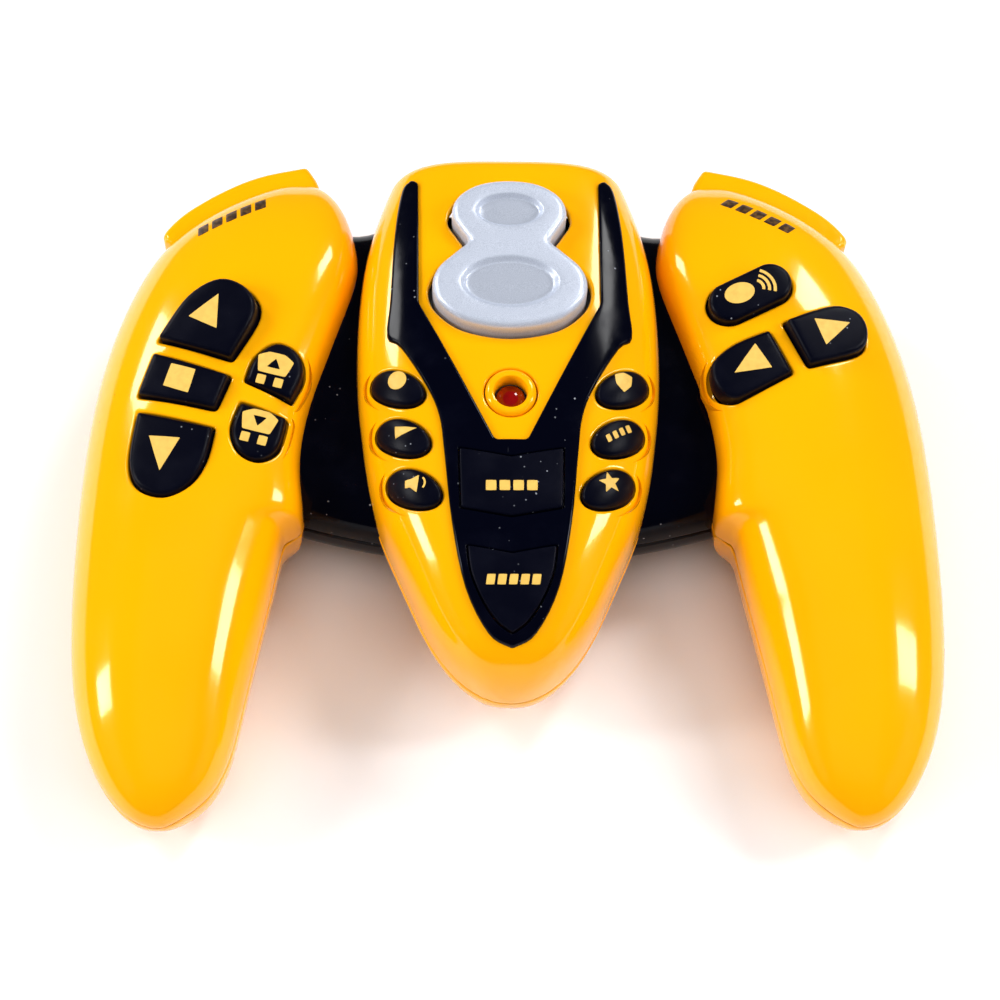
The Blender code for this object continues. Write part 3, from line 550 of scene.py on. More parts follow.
class PodSurface:
    """The upper skin of the centre pod. Past the fillet it closes over the flat back."""

    spread = (52.0, 26.0)
    last = FILLET_WAY + FILLET_SPAN + BACK_SPAN

    @lru_cache(maxsize=None)
    def section(self, along):
        """y, the parting height, half the width and the height above the parting."""
        inset, shrink, way = 0.0, 1.0, along
        if along > FILLET_WAY:
            turn = min((along - FILLET_WAY) / FILLET_SPAN, 1.0) * math.pi / 2
            way = pod_way(POD_BACK - POD_FILLET + POD_FILLET * math.sin(turn))
            inset = POD_FILLET * (1 - math.cos(turn))
            shrink = 1 - max(along - FILLET_WAY - FILLET_SPAN, 0.0) / BACK_SPAN
        y = pod_y(way)
        width, crest = (line(way) for line in POD_LINES)
        base = pod_parting(y)
        half = max(width - inset, width * 0.08) * shrink
        tall = max(crest - base - inset, (crest - base) * 0.08) * shrink
        return y, base, half, tall

    def point(self, along, across):
        y, base, half, tall = self.section(along)
        side, rise = super_point(across, POD_POWER, POD_POWER)
        half = max(half - tuck(tall * rise), 0.0)
        return Vector((-side * half, y, base + SEAM + tall * rise))

    def locate(self, p):
        along = pod_way(p.y)
        across = solve(lambda a: self.point(along, a).x, p.x, 0.02, math.pi - 0.02)
        return along, across


def height_on(surface, matrix):
    """A function of (x, y) in a frame: how far above its plane the surface lies."""
    normal = (matrix.to_3x3() @ Vector((0, 0, 1))).normalized()
    back = matrix.inverted()

    def height(x, y):
        lift = 0.0
        for _ in range(5):
            p = matrix @ Vector((x, y, lift))
            q = surface.point(*surface.locate(p))
            if abs(q.z - p.z) < 1e-3:
                break
            lift += (q.z - p.z) * normal.z
        return (back @ p).z

    return height


def edge_angles(count):
    """Angles over a shell, closer together towards the parting line."""
    fine = [0.0, 0.002, 0.005, 0.010]
    inner = []
    for k in range(1, count):
        near, far = (k / count) ** 1.6, (1 - k / count) ** 1.6
        inner.append(fine[-1] + (math.pi - 2 * fine[-1]) * near / (near + far))
    return fine + inner + [math.pi - a for a in reversed(fine)]


def pierced_shell(name, surface, alongs, acrosses, holes, slot, nodes, rim=0.4, wall=1.5):
    """A curved skin with rounded holes through it.

    holes are (matrix, outline) pairs: the outline is projected along its frame's normal.
    """
    scale_a, scale_b = surface.spread
    flat = lambda along, across: (along * scale_a, across * scale_b)
    verts, faces, loops, lines = [], [], [], []
    for matrix, outline in holes:
        height = height_on(surface, matrix)
        rings = []
        for distance, drop in [(0.0, rim + wall), *arc(rim, 4), (rim + 0.3, 0.0)]:
            ring = []
            for x, y in outline.ring(distance):
                verts.append(tuple(matrix @ Vector((x, y, height(x, y) - drop))))
                ring.append(len(verts) - 1)
            rings.append(ring)
        for a, b in zip(rings, rings[1:]):
            for i in range(len(a)):
                j = (i + 1) % len(a)
                faces.append([a[i], a[j], b[j], b[i]])
        loops.append(rings[-1])
        lines.append([flat(*surface.locate(Vector(verts[i]))) for i in rings[-1]])

    border = [(a, acrosses[0]) for a in alongs] + [(alongs[-1], b) for b in acrosses[1:]]
    border += [(a, acrosses[-1]) for a in reversed(alongs[:-1])] + [(alongs[0], b) for b in acrosses[-2:0:-1]]
    inner = [(a, b) for a in alongs[1:-1] for b in acrosses[1:-1]]
    where = np.array([flat(a, b) for a, b in inner])
    keep = np.ones(len(where), bool)
    for line in lines:
        keep &= ~inside(where, line) & far_from(where, line, 0.45)
    inner = [p for p, k in zip(inner, keep) if k]
    edge_line = [flat(a, b) for a, b in border]

    ids = [i for loop in loops for i in loop]
    for a, b in border + inner:
        verts.append(tuple(surface.point(a, b)))
        ids.append(len(verts) - 1)
    # The border comes last among the loops, so its points follow the holes' points.
    cap = triangulate(lines + [edge_line], where[keep], edge_line, lines)
    faces += [[ids[i] for i in f] for f in cap]
    piece = add_piece(name, verts, faces, slot, "handset", nodes)
    face_outwards(piece, (verts[ids[0]][0], 8, 12))
    thicken(piece)
    return piece


def swept_shell(name, rows, slot, nodes, centre):
    """An open skin from rows of points, then given its wall."""
    cols = len(rows[0])
    verts = [p for row in rows for p in row]
    faces = [
        [i * cols + j, i * cols + j + 1, (i + 1) * cols + j + 1, (i + 1) * cols + j]
        for i in range(len(rows) - 1)
        for j in range(cols - 1)
    ]
    piece = add_piece(name, verts, faces, slot, "handset", nodes)
    face_outwards(piece, centre)
    thicken(piece)
    return piece


# ================================================================ materials
class Recipe:
    """A procedural material made from named steps around one Principled shader."""

    def __init__(self, name, **sockets):
        self.material = bpy.data.materials.new(name)
        self.material.use_nodes = True
        self.tree = self.material.node_tree
        self.shader = self.tree.nodes["Principled BSDF"]
        self.place = self.add("ShaderNodeTexCoord").outputs["Object"]
        for key, value in sockets.items():
            self.shader.inputs[key.replace("_", " ")].default_value = value

    def add(self, kind, **settings):
        node = self.tree.nodes.new(kind)
        for key, value in settings.items():
            setattr(node, key, value)
        return node

    def link(self, source, target):
        self.tree.links.new(source, target)

    def ellipse(self, centre, radii, soft=0.06):
        """1 inside an upright elliptical column, in mm, seen from above."""
        mapping = self.add("ShaderNodeMapping")
        mapping.inputs["Scale"].default_value = (1 / (radii[0] * MM), 1 / (radii[1] * MM), 0)
        mapping.inputs["Location"].default_value = (-centre[0] / radii[0], -centre[1] / radii[1], 0)
        self.link(self.place, mapping.inputs["Vector"])
        length = self.add("ShaderNodeVectorMath", operation="LENGTH")
        self.link(mapping.outputs["Vector"], length.inputs[0])
        return self.between(length.outputs["Value"], 1.0, 1.0 - soft)

    def noise(self, scale, detail=3.0, roughness=0.5, stretch=None):
        node = self.add("ShaderNodeTexNoise")
        node.inputs["Scale"].default_value = scale
        node.inputs["Detail"].default_value = detail
        node.inputs["Roughness"].default_value = roughness
        place = self.place
        if stretch:
            mapping = self.add("ShaderNodeMapping")
            mapping.inputs["Scale"].default_value = stretch
            self.link(place, mapping.inputs["Vector"])
            place = mapping.outputs["Vector"]
        self.link(place, node.inputs["Vector"])
        return node.outputs["Fac"]

    def specks(self, scale, size):
        """1 on small scattered dots."""
        node = self.add("ShaderNodeTexVoronoi")
        node.inputs["Scale"].default_value = scale
        self.link(self.place, node.inputs["Vector"])
        return self.between(node.outputs["Distance"], size, size * 0.5)

    def between(self, source, low, high, to_low=0.0, to_high=1.0):
        """Maps a value from low..high, either way round, onto to_low..to_high."""
        node = self.add("ShaderNodeMapRange", clamp=True)
        for key, value in (("From Min", low), ("From Max", high), ("To Min", to_low), ("To Max", to_high)):
            node.inputs[key].default_value = value
        self.link(source, node.inputs["Value"])
        return node.outputs["Result"]

    def math(self, operation, a, b):
        node = self.add("ShaderNodeMath", operation=operation)
        for socket, value in zip(node.inputs, (a, b)):
            if isinstance(value, (int, float)):
                socket.default_value = value
            else:
                self.link(value, socket)
        return node.outputs["Value"]

    def mix(self, share, first, second):
        node = self.add("ShaderNodeMix", data_type="RGBA")
        self.link(share, node.inputs["Factor"])
        for socket, value in ((node.inputs[6], first), (node.inputs[7], second)):
            if isinstance(value, tuple):
                socket.default_value = (*value, 1)
            else:
                self.link(value, socket)
        return node.outputs[2]

    def colour(self, source):
        self.link(source, self.shader.inputs["Base Color"])

    def roughness(self, source):
        self.link(source, self.shader.inputs["Roughness"])

    def bump(self, source, strength, distance):
        node = self.add("ShaderNodeBump")
        node.inputs["Strength"].default_value = strength
        node.inputs["Distance"].default_value = distance * MM
        self.link(source, node.inputs["Height"])
        self.link(node.outputs["Normal"], self.shader.inputs["Normal"])


def yellow_gloss():
    """Glossy moulded yellow: faint flow marks, orange peel, hairline scuffs."""
    r = Recipe("yellow_gloss_plastic", Coat_Weight=0.30, Coat_Roughness=0.04, IOR=1.48,
               Specular_Tint=(1.0, 0.88, 0.40, 1))
    flow = r.between(r.noise(28, 2.0), 0.35, 0.65)
    base = r.mix(flow, (0.985, 0.425, 0.0004), (0.965, 0.405, 0.0003))
    grime = r.math("MULTIPLY", r.specks(260, 0.05), r.between(r.noise(40), 0.58, 0.66))
    r.colour(r.mix(grime, base, (0.30, 0.17, 0.02)))
    scuffs = r.between(r.noise(900, 2.0, 0.6, (1, 0.06, 1)), 0.60, 0.74)
    polish = r.between(r.noise(90, 4.0), 0.3, 0.7, 0.09, 0.15)
    r.roughness(r.math("ADD", polish, r.math("MULTIPLY", scuffs, 0.07)))
    r.bump(r.noise(1400, 1.0), 0.05, 0.02)
    return r.material


def black_gloss():
    """Glossy black with handling smudges, fine scratches and white dust."""
    r = Recipe("black_gloss_plastic", IOR=1.46, Specular_IOR_Level=0.12)
    smudge = r.between(r.noise(120, 5.0, 0.62), 0.52, 0.75)
    base = r.mix(smudge, (0.0006, 0.0009, 0.0042), (0.0014, 0.0018, 0.0062))
    dust = r.math("MULTIPLY", r.specks(520, 0.10), r.between(r.noise(70), 0.50, 0.60))
    scratch = r.between(r.noise(520, 2.0, 0.7, (1, 0.05, 1)), 0.735, 0.76)
    marks = r.math("MULTIPLY", scratch, r.between(r.noise(55, 1.0), 0.54, 0.62))
    r.colour(r.mix(r.math("MAXIMUM", dust, r.math("MULTIPLY", marks, 0.35)), base, (0.30, 0.32, 0.36)))
    r.roughness(r.math("ADD", r.between(smudge, 0, 1, 0.13, 0.26), r.math("MULTIPLY", dust, 0.4)))
    r.bump(r.noise(1700, 1.0), 0.04, 0.02)
    return r.material


def key_rubber():
    """Satin navy-black rubber with a fine grain, some lint and rubbed places."""
    r = Recipe("key_rubber", IOR=1.42, Specular_IOR_Level=0.12)
    rubbed = r.between(r.noise(150, 4.0), 0.45, 0.75)
    base = r.mix(rubbed, (0.0010, 0.0013, 0.0052), (0.0020, 0.0024, 0.0075))
    dust = r.math("MULTIPLY", r.specks(640, 0.11), r.between(r.noise(95), 0.50, 0.60))
    r.colour(r.mix(dust, base, (0.28, 0.30, 0.34)))
    r.roughness(r.between(rubbed, 0, 1, 0.34, 0.46))
    r.bump(r.noise(5200, 2.0), 0.12, 0.02)
    return r.material


def ink():
    """Printed pale yellow, slightly worn."""
    r = Recipe("key_print", IOR=1.45)
    wear = r.between(r.noise(900, 4.0), 0.35, 0.75)
    r.colour(r.mix(wear, (0.80, 0.50, 0.10), (0.68, 0.42, 0.08)))
    r.roughness(r.between(wear, 0, 1, 0.42, 0.6))
    return r.material


def dark_ink():
    """Printed brownish black on the yellow shell."""
    r = Recipe("shell_print", IOR=1.45)
    wear = r.between(r.noise(1300, 4.0), 0.45, 0.8)
    r.colour(r.mix(wear, (0.030, 0.012, 0.004), (0.20, 0.09, 0.01)))
    r.roughness(r.between(wear, 0, 1, 0.35, 0.5))
    return r.material


def silver_paint():
    """Sprayed silver: fine flakes, a little orange peel, dark rubbed scuffs, and painted shade darkening the
    two dish floors.
    """
    r = Recipe("silver_paint", Metallic=0.35, IOR=1.5)
    flake = r.between(r.noise(9000, 1.0), 0.35, 0.68)
    base = r.mix(flake, (0.50, 0.55, 0.66), (0.71, 0.76, 0.88))
    scuff = r.between(r.noise(620, 3.0, 0.7, (1, 0.22, 1)), 0.70, 0.735)
    where = r.between(r.noise(90, 1.0), 0.56, 0.62)
    worn = r.mix(r.math("MULTIPLY", scuff, where), base, (0.12, 0.12, 0.13))
    # Painted shade: inside the two dish floors the colour is multiplied down to 0.76, standing in for the
    # shade the dishes catch.
    dishes = r.math("MAXIMUM", r.ellipse((0, 26.4), (7.5, 4.2)), r.ellipse((0, 40.8), (5.2, 2.7)))
    shade = r.between(dishes, 0, 1, 1.0, 0.76)
    dish_painted_shade = r.add("ShaderNodeMix", data_type="RGBA", blend_type="MULTIPLY")
    dish_painted_shade.inputs["Factor"].default_value = 1.0
    r.link(worn, dish_painted_shade.inputs[6])
    r.link(shade, dish_painted_shade.inputs[7])
    r.colour(dish_painted_shade.outputs[2])
    r.roughness(r.between(r.noise(2400, 2.0), 0.3, 0.7, 0.30, 0.42))
    r.bump(r.noise(5200, 2.0), 0.10, 0.02)
    return r.material


def lens_red():
    """Dark red clear lens."""
    r = Recipe("lens_red", IOR=1.5, Coat_Weight=0.4, Coat_Roughness=0.03)
    depth = r.between(r.noise(300, 2.0), 0.3, 0.7)
    r.colour(r.mix(depth, (0.30, 0.001, 0.001), (0.16, 0.0005, 0.0005)))
    r.roughness(r.between(depth, 0, 1, 0.08, 0.14))
    return r.material


def plain(name, first, second, rough, scale=200.0, metallic=0.0, grain=0.1, stretch=None):
    """A moulded or plated material of two close colours."""
    r = Recipe(name, Metallic=metallic)
    share = r.between(r.noise(scale, 4.0, 0.6, stretch), 0.35, 0.68)
    r.colour(r.mix(share, first, second))
    r.roughness(r.between(share, 0, 1, rough, rough + 0.12))
    r.bump(r.noise(scale * 9, 2.0, 0.5, stretch), grain, 0.03)
    return r.material


def circuit_board():
    """Green lacquer with copper tracks and pads under it."""
    r = Recipe("circuit_board", Coat_Weight=0.5, Coat_Roughness=0.15)
    tracks = r.between(r.noise(420, 0.0, 0.5, (1, 0.25, 1)), 0.48, 0.50)
    base = r.mix(tracks, (0.010, 0.085, 0.028), (0.020, 0.17, 0.055))
    r.colour(r.mix(r.specks(300, 0.16), base, (0.55, 0.50, 0.36)))
    r.roughness(r.between(tracks, 0, 1, 0.32, 0.44))
    r.bump(tracks, 0.3, 0.05)
    return r.material


FINISHES = {
    "yellow_gloss": yellow_gloss(),
    "black_gloss": black_gloss(),
    "key_rubber": key_rubber(),
    "silver_paint": silver_paint(),
    "lens_red": lens_red(),
    "window_black": plain("window_black", (0.010, 0.0006, 0.004), (0.016, 0.001, 0.006), 0.06, 120,
                          grain=0.02),
    "circuit_board": circuit_board(),
    "membrane": plain("membrane", (0.30, 0.31, 0.31), (0.38, 0.39, 0.38), 0.55, 300),
    "steel": plain("plated_steel", (0.50, 0.51, 0.53), (0.64, 0.65, 0.66), 0.22, 500, 1.0,
                   stretch=(1, 0.1, 1)),
    "cell_wrap": plain("cell_wrap", (0.02, 0.12, 0.28), (0.04, 0.18, 0.36), 0.24, 160, 0.2, 0.05),
    "wire": plain("wire_insulation", (0.42, 0.015, 0.012), (0.50, 0.03, 0.02), 0.38, 260),
    "switch_plastic": plain("switch_plastic", (0.016, 0.016, 0.018), (0.028, 0.028, 0.030), 0.42, 420),
    "foot_rubber": plain("foot_rubber", (0.012, 0.012, 0.013), (0.022, 0.022, 0.022), 0.72, 600, grain=0.3),
}
KEY_INK = ink()
SHELL_INK = dark_ink()


# ================================================================ frames, keys and their holes
LEFT_OUT = placed(-57, 8, 29.0, 0.12, 0.13)
LEFT_IN = placed(-41, 8, 29.2, -0.02, 0.13)
RIGHT_OUT = placed(57, 8, 29.0, -0.12, 0.13)
RIGHT_IN = placed(41, 8, 29.2, 0.02, 0.13)
CENTRE = placed(0, 0, 32.8, 0, 0.10)
NOSE = placed(0, -20, 31.9, 0, 0.25)
LAMP = placed(0, 6.6, 35.1, 0, 0.07)
ROCKER = placed(0, 34.0, 36.4, 0, 0.03)

POD = PodSurface()
GRIPS = {"left": GripSurface(1), "right": GripSurface(-1)}
HANDS = (("left", 1), ("right", -1))

GRIP_KEYS = {
    # name: (hand, frame, outline of its hole, height of its top)
    "key_up": ("left", LEFT_OUT, Outline([(-3.1, 11.6), (10.2, 6.8), (14.5, 15.3), (12.9, 20.2), (7.9, 22.5),
                                          (2.2, 19.4)], (0, 1)), 2.0),
    "key_stop": ("left", LEFT_OUT, Outline([(-6.1, 1.2), (7.7, -2.3), (10.2, 4.2), (-3.4, 9.3)],
                                           (0, 1, 2, 3)), 2.0),
    "key_down": ("left", LEFT_OUT, Outline([(7.7, -5.2), (-5.9, -1.4), (-7.0, -10.6), (-5.4, -15.6),
                                            (-0.8, -17.6), (3.7, -15.6), (6.3, -11.4)], (0, 1)), 2.0),
    "key_raise": ("left", LEFT_IN, Outline([(-4.2, 3.4), (4.2, -0.2), (6.2, 5.4), (5.0, 9.2), (1.2, 10.9),
                                            (-2.5, 8.0)], (0, 1)), 1.4),
    "key_lower": ("left", LEFT_IN, Outline([(3.8, -3.0), (-4.6, 0.0), (-6.1, -5.4), (-4.6, -9.6),
                                            (-1.1, -11.1), (2.2, -8.9)], (0, 1)), 1.4),
    "key_signal": ("right", RIGHT_IN, Oval(0.75, 20.45, 3.95, 3.95, 27, reach=4.1), 2.0),
    "key_left": ("right", RIGHT_IN, Outline([(3.8, 13.7), (-2.7, 10.8), (-6.5, 7.6), (-6.9, 4.6), (-5.6, 1.7),
                                             (-3.0, 0.2), (0.0, 1.2), (7.6, 5.3)], (0, 7)), 2.0),
    "key_right": ("right", RIGHT_OUT, Outline([(-10.3, 14.9), (-6.2, 6.2), (2.8, 9.4), (4.8, 13.2),
                                               (3.4, 17.0), (-0.6, 18.4), (-5.2, 17.1)], (0, 1)), 2.0),
}
OVALS = {
    "key_record": (-18.9, 8.2), "key_play": (-17.9, -0.9), "key_sound": (-16.0, -10.1),
    "key_shield": (18.9, 8.2), "key_auto": (17.9, -0.9), "key_guard": (16.0, -10.1),
}
UPPER_KEY = Outline([(-8.5, -14.2), (0, -15.8), (8.5, -14.2), (8.8, -3.4), (0, -5.0), (-8.8, -3.4)],
                    range(6), corner=0.5)
LOWER_KEY = Outline([(0, -15.0), (2.6, -13.0), (4.9, -9.6), (6.8, -5.0), (7.5, -0.2), (0, -1.6),
                     (-7.5, -0.2), (-6.8, -5.0), (-4.9, -9.6), (-2.6, -13.0)], (0, 4, 5, 6), corner=0.5)
ROCKER_HALF = [(0, -16.6), (7.6, -15.2), (12.0, -11.7), (13.3, -8.0), (12.2, -4.4),
               (9.2, -1.3), (7.3, 0.8), (8.4, 3.0), (10.0, 6.2), (8.9, 9.8), (5.2, 12.4), (0, 13.2)]
HALF_INLAY = [(0, -36.4), (3.9, -34.2), (7.6, -27.2), (9.8, -16.5), (11.1, -4.1), (11.9, 2.2),
              (13.9, 7.6), (18.4, 15.6), (20.8, 18.2), (20.4, 25.0), (20.0, 35.0), (19.5, 42.0),
              (18.6, 48.4), (17.2, 50.4), (15.8, 49.2), (15.5, 23.8), (2.7, -2.2)]


def both_sides(half):
    """Closes a right-hand half outline with its mirror image, counter-clockwise."""
    return half + [(-x, y) for x, y in reversed(half) if x > 0]


ROCKER_LINE = Outline(both_sides(ROCKER_HALF), (), 5)


class Inset:
    """Another outline, moved inwards or outwards by a fixed amount."""

    def __init__(self, outline, distance):
        self.outline, self.distance = outline, distance

    def ring(self, distance=0.0):
        return self.outline.ring(self.distance + distance)


def oval_hole(name):
    x, y = OVALS[name]
    return Oval(x, y, 5.25, 3.2, math.copysign(31, x))


# ================================================================ shells
TRIGGER_SLOT = [(-62.6, 45.6), (-61.2, 42.2), (-57.2, 39.8), (-51.0, 43.6), (-45.0, 48.0), (-38.6, 48.6),
                (-32.6, 50.0), (-32.6, 58.0), (-36.0, 66.0), (-64.0, 62.0)]
TRIGGER_LOW, TRIGGER_HIGH = 11.0, 23.2


def mirrored(line, side):
    return line if side > 0 else [(-x, y) for x, y in reversed(line)]


def cut_trigger_slot(piece, side):
    line = curve(mirrored(TRIGGER_SLOT, side), range(len(TRIGGER_SLOT)), 3, 0.4)
    carve(piece, block(line, TRIGGER_LOW - 0.35, TRIGGER_HIGH + 0.35))


def grip_uppers():
    turns = [0.012] + [math.pi * k / 150 for k in range(1, 150)] + [math.pi - 0.012]
    near_step = (-1.7, -1.2, -0.8, -0.4, 0.0, 0.4, 0.8, 1.2, 1.7)
    turns = sorted(turns + [grip_turn(ARMPIT_Y + d) for d in near_step])
    for hand, side in HANDS:
        holes = [(matrix, line) for owner, matrix, line, _ in GRIP_KEYS.values() if owner == hand]
        piece = pierced_shell(f"{hand}_grip_upper", GRIPS[hand], turns, edge_angles(84), holes,
                              "yellow_gloss", [f"{hand}_grip_upper_shell"])
        cut_trigger_slot(piece, side)


def grip_lowers():
    turns = [0.012] + [math.pi * k / 96 for k in range(1, 96)] + [math.pi - 0.012]
    for hand, side in HANDS:
        rows = []
        for turn in turns:
            line = [grip_point(turn, angle, False) for angle in edge_angles(44)]
            rows.append([(side * x, y, z) for x, y, z in line])
        piece = swept_shell(f"{hand}_grip_lower", rows, "yellow_gloss",
                            [f"{hand}_grip_lower_shell"], (side * 55, 0, 14))
        cut_trigger_slot(piece, side)
        foot = offset(curve(mirrored(FOOT, side), (0, 1, 2, 3), 3, 3.6), 0.3)
        carve(piece, block(foot, -2, 1.35))
        for x, y, z in ((-56, -42, 2.0), (-50, 34, 2.6)):
            carve(piece, block(Oval(side * x, y, 3.0, 3.0).ring(), -2, z + 2.2))


def centre_upper():
    alongs = [0.006, 0.016] + [math.pi / 2 * k / 80 for k in range(1, 81)]
    alongs += [math.pi / 2 + (FILLET_WAY - math.pi / 2) * k / 26 for k in range(1, 27)]
    alongs += [FILLET_WAY + FILLET_SPAN * k / 7 for k in range(1, 8)]
    alongs += [FILLET_WAY + FILLET_SPAN + BACK_SPAN * k / 6 for k in range(1, 6)]
    alongs += [PodSurface.last - 0.004]
    holes = [(CENTRE, oval_hole(name)) for name in OVALS]
    holes += [(CENTRE, Inset(UPPER_KEY, 0.4)), (NOSE, Inset(LOWER_KEY, 0.4))]
    holes += [(ROCKER, Inset(ROCKER_LINE, 0.6)), (LAMP, Oval(0, 0, 4.5, 4.5))]
    return pierced_shell("centre_upper", POD, alongs, edge_angles(100), holes, "yellow_gloss",
                         ["centre_upper_shell"])


def nose():
    floor = Spline([(pod_way(y), z) for y, z in
                    [(-40.6, 14.0), (-40.0, 10.6), (-37.6, 8.2), (-30.0, 6.2), (-15.0, 5.2), (6.0, 5.0)]])
    rows = []
    for k in range(40):
        way = 0.006 + (pod_way(6) - 0.006) * k / 39
        y = pod_y(way)
        width, base = POD_LINES[0](way), pod_parting(y) - SEAM
        depth = base - floor(way)
        row = []
        for angle in edge_angles(40):
            across, rise = super_point(angle, 2.6, 2.6)
            half = max(width - tuck(depth * rise), 0.0)
            row.append((-across * half, y, base - depth * rise))
        rows.append(row)
    swept_shell("centre_nose", rows, "yellow_gloss", ["centre_lower_shell"], (0, -10, 14))


BRIDGE_X, BRIDGE_MID, BRIDGE_TOP, BRIDGE_FLOOR, BRIDGE_POWER = 37.5, 12.0, 23.0, 1.4, 3.4


def bridge_row(x, upper):
    front = -12.5 + 0.0043 * x * x
    back = 54.5 - 4.5 * smoothstep((abs(x) - 14) / 13)
    tall = BRIDGE_TOP - BRIDGE_MID if upper else BRIDGE_MID - BRIDGE_FLOOR
    row = []
    for angle in edge_angles(60):
        across, rise = super_point(angle, BRIDGE_POWER, BRIDGE_POWER)
        y = (front + back) / 2 - across * ((back - front) / 2 - tuck(tall * rise))
        tilt = 0.05 * (y - 20) * rise if upper else 0.0
        way = 1 if upper else -1
        row.append((x, y, BRIDGE_MID + way * SEAM + tall * rise * way + tilt))
    return row


DOOR = (-27.0, 2.0, 27.0, 40.0)  # x0, y0, x1, y1
FOOT = [(-62, -30), (-54, -30), (-54, 20), (-62, 20)]


def bridge():
    xs = [BRIDGE_X * k / 24 for k in range(-24, 25)]
    for name, upper in (("bridge_upper", True), ("bridge_lower", False)):
        piece = swept_shell(name, [bridge_row(x, upper) for x in xs], "black_gloss",
                            [f"{name}_shell"], (0, 20, BRIDGE_MID))
    x0, y0, x1, y1 = DOOR
    bay = [(x0, y0), (x1, y0), (x1, y1 + 1.5), (x0, y1 + 1.5)]
    carve(piece, block(curve(bay, (0, 1, 2, 3), 2, 1.5), -3, 6.5))


# ================================================================ plates on the centre pod
POD_LIFT = 0.75  # the inlay's top above the pod


def inlay():
    plan = Matrix()
    level = height_on(POD, plan)
    holes = [PlanRing(UPPER_KEY, CENTRE), PlanRing(LOWER_KEY, NOSE)]
    slab("face_inlay_plate", Outline(both_sides(HALF_INLAY), (0, 13, 14, 15, 16, 17, 18, 19, 20), 4, 0.7),
         lambda x, y: level(x, y) + POD_LIFT, lambda x, y: level(x, y) - 0.25, plan,
         "black_gloss", "handset", ["face_inlay"], holes, rim=0.42)


class PlanRing:
    """An outline in a tilted frame on the pod, seen in plan."""

    def __init__(self, outline, matrix):
        self.outline, self.matrix = outline, matrix
        self.height = height_on(POD, matrix)

    def ring(self, distance=0.0):
        line = []
        for x, y in self.outline.ring(distance):
            p = self.matrix @ Vector((x, y, self.height(x, y) + POD_LIFT))
            line.append((p.x, p.y))
        return line


def lamp():
    collar = [(2.8, -2.6), (2.8, 0.35), (2.95, 0.62), (3.25, 0.74), (3.6, 0.72), (3.95, 0.56),
              (4.2, 0.24), (4.3, -0.1), (4.3, -2.6)]
    lathe("indicator_collar", collar, LAMP, "yellow_gloss", "handset", ["indicator_bezel"])
    dome = [(2.45 * math.sin(t), -1.0 - 1.5 * (1 - math.cos(t))) for t in np.linspace(0, math.pi / 2, 12)]
    lathe("indicator_lens", dome + [(2.45, -8.0), (0.0, -8.0)], LAMP, "lens_red",
          "handset", ["indicator_led"])


DISHES = (  # centre y, outer radii, inner radii
    (-7.6, (8.6, 5.3), (7.3, 4.1)),
    (6.8, (6.0, 3.6), (5.1, 2.6)),
)
ROCKER_TOP, DISH_DEPTH = 4.2, 1.0


def rocker_height(x, y):
    height = ROCKER_TOP
    for middle, outer, inner in DISHES:
        at_outer = math.hypot(x / outer[0], (y - middle) / outer[1])
        at_inner = math.hypot(x / inner[0], (y - middle) / inner[1])
        if at_inner <= 1:
            return ROCKER_TOP - DISH_DEPTH
        if at_outer < 1:
            span = (at_inner - 1) / (at_inner / at_outer - 1)
            height = ROCKER_TOP - DISH_DEPTH * (1 - smoothstep(span))
    return height


def rocker():
    creases = []
    for middle, outer, inner in DISHES:
        for share in (0.0, 0.15, 0.3, 0.5, 0.7, 0.85, 1.0):
            a, b = (i + (o - i) * share for o, i in zip(outer, inner))
            creases.append(Oval(0, middle, a, b, count=72))
    sunk = ROCKER @ Matrix.Translation((0, 0, -1.3))
    slab("rocker_key_cap", Inset(ROCKER_LINE, -0.1), rocker_height, -2.3, sunk,
         "silver_paint", "rocker_key", ["rocker_key"], creases=creases, rim=1.25, steps=7,
         sharp=60)


# ================================================================ keys and their marks
def crowned(outline, top, fall=0.004):
    line = outline.ring()
    cx, cy = (sum(p[k] for p in line) / len(line) for k in (0, 1))
    return lambda x, y: top - fall * ((x - cx) ** 2 + (y - cy) ** 2)


def mark(name, outline, top, matrix, body, holes=(), finish=None, lift=0.07):
    """A print: a very thin plate that lies on a surface."""
    slab(name, outline, lambda x, y: top(x, y) + lift, lambda x, y: top(x, y) - 0.06, matrix,
         "yellow_gloss", body, holes=holes, rim=0.03, steps=1, pitch=0.7, finish=finish or KEY_INK)


def flat(points, corner=0.12, sharp=None):
    """A print's outline with crisp corners."""
    return Outline(points, range(len(points)) if sharp is None else sharp, 2, corner)


SKIRT, SHORT_SKIRT = -4.4, -2.6  # key_left sits over the steep side of its grip, so its skirt is short


def grip_keys():
    tops = {}
    for name, (_, matrix, line, top) in GRIP_KEYS.items():
        cap = Inset(line, -0.35)
        tops[name] = crowned(cap, top)
        skirt = SHORT_SKIRT if name == "key_left" else SKIRT
        slab(f"{name}_cap", cap, tops[name], skirt, matrix, "key_rubber", name, [name],
             rim=0.85, steps=6)
    return tops


def oval_keys():
    tops = {}
    for name, (x, y) in OVALS.items():
        hole = oval_hole(name)
        level = height_on(POD, CENTRE)
        c, s = math.cos(math.radians(hole.tilt)), math.sin(math.radians(hole.tilt))

        def top(px, py, level=level, x=x, y=y, c=c, s=s):
            u, v = (px - x) * c + (py - y) * s, (py - y) * c - (px - x) * s
            return level(px, py) + 0.75 + 0.55 * max(1 - (u / 5.0) ** 2 - (v / 3.0) ** 2, 0.0)

        tops[name] = top
        slab(f"{name}_cap", Inset(hole, -0.3), top, -5.0, CENTRE, "key_rubber", name,
             [name], rim=0.6, steps=6, pitch=0.5)
    return tops


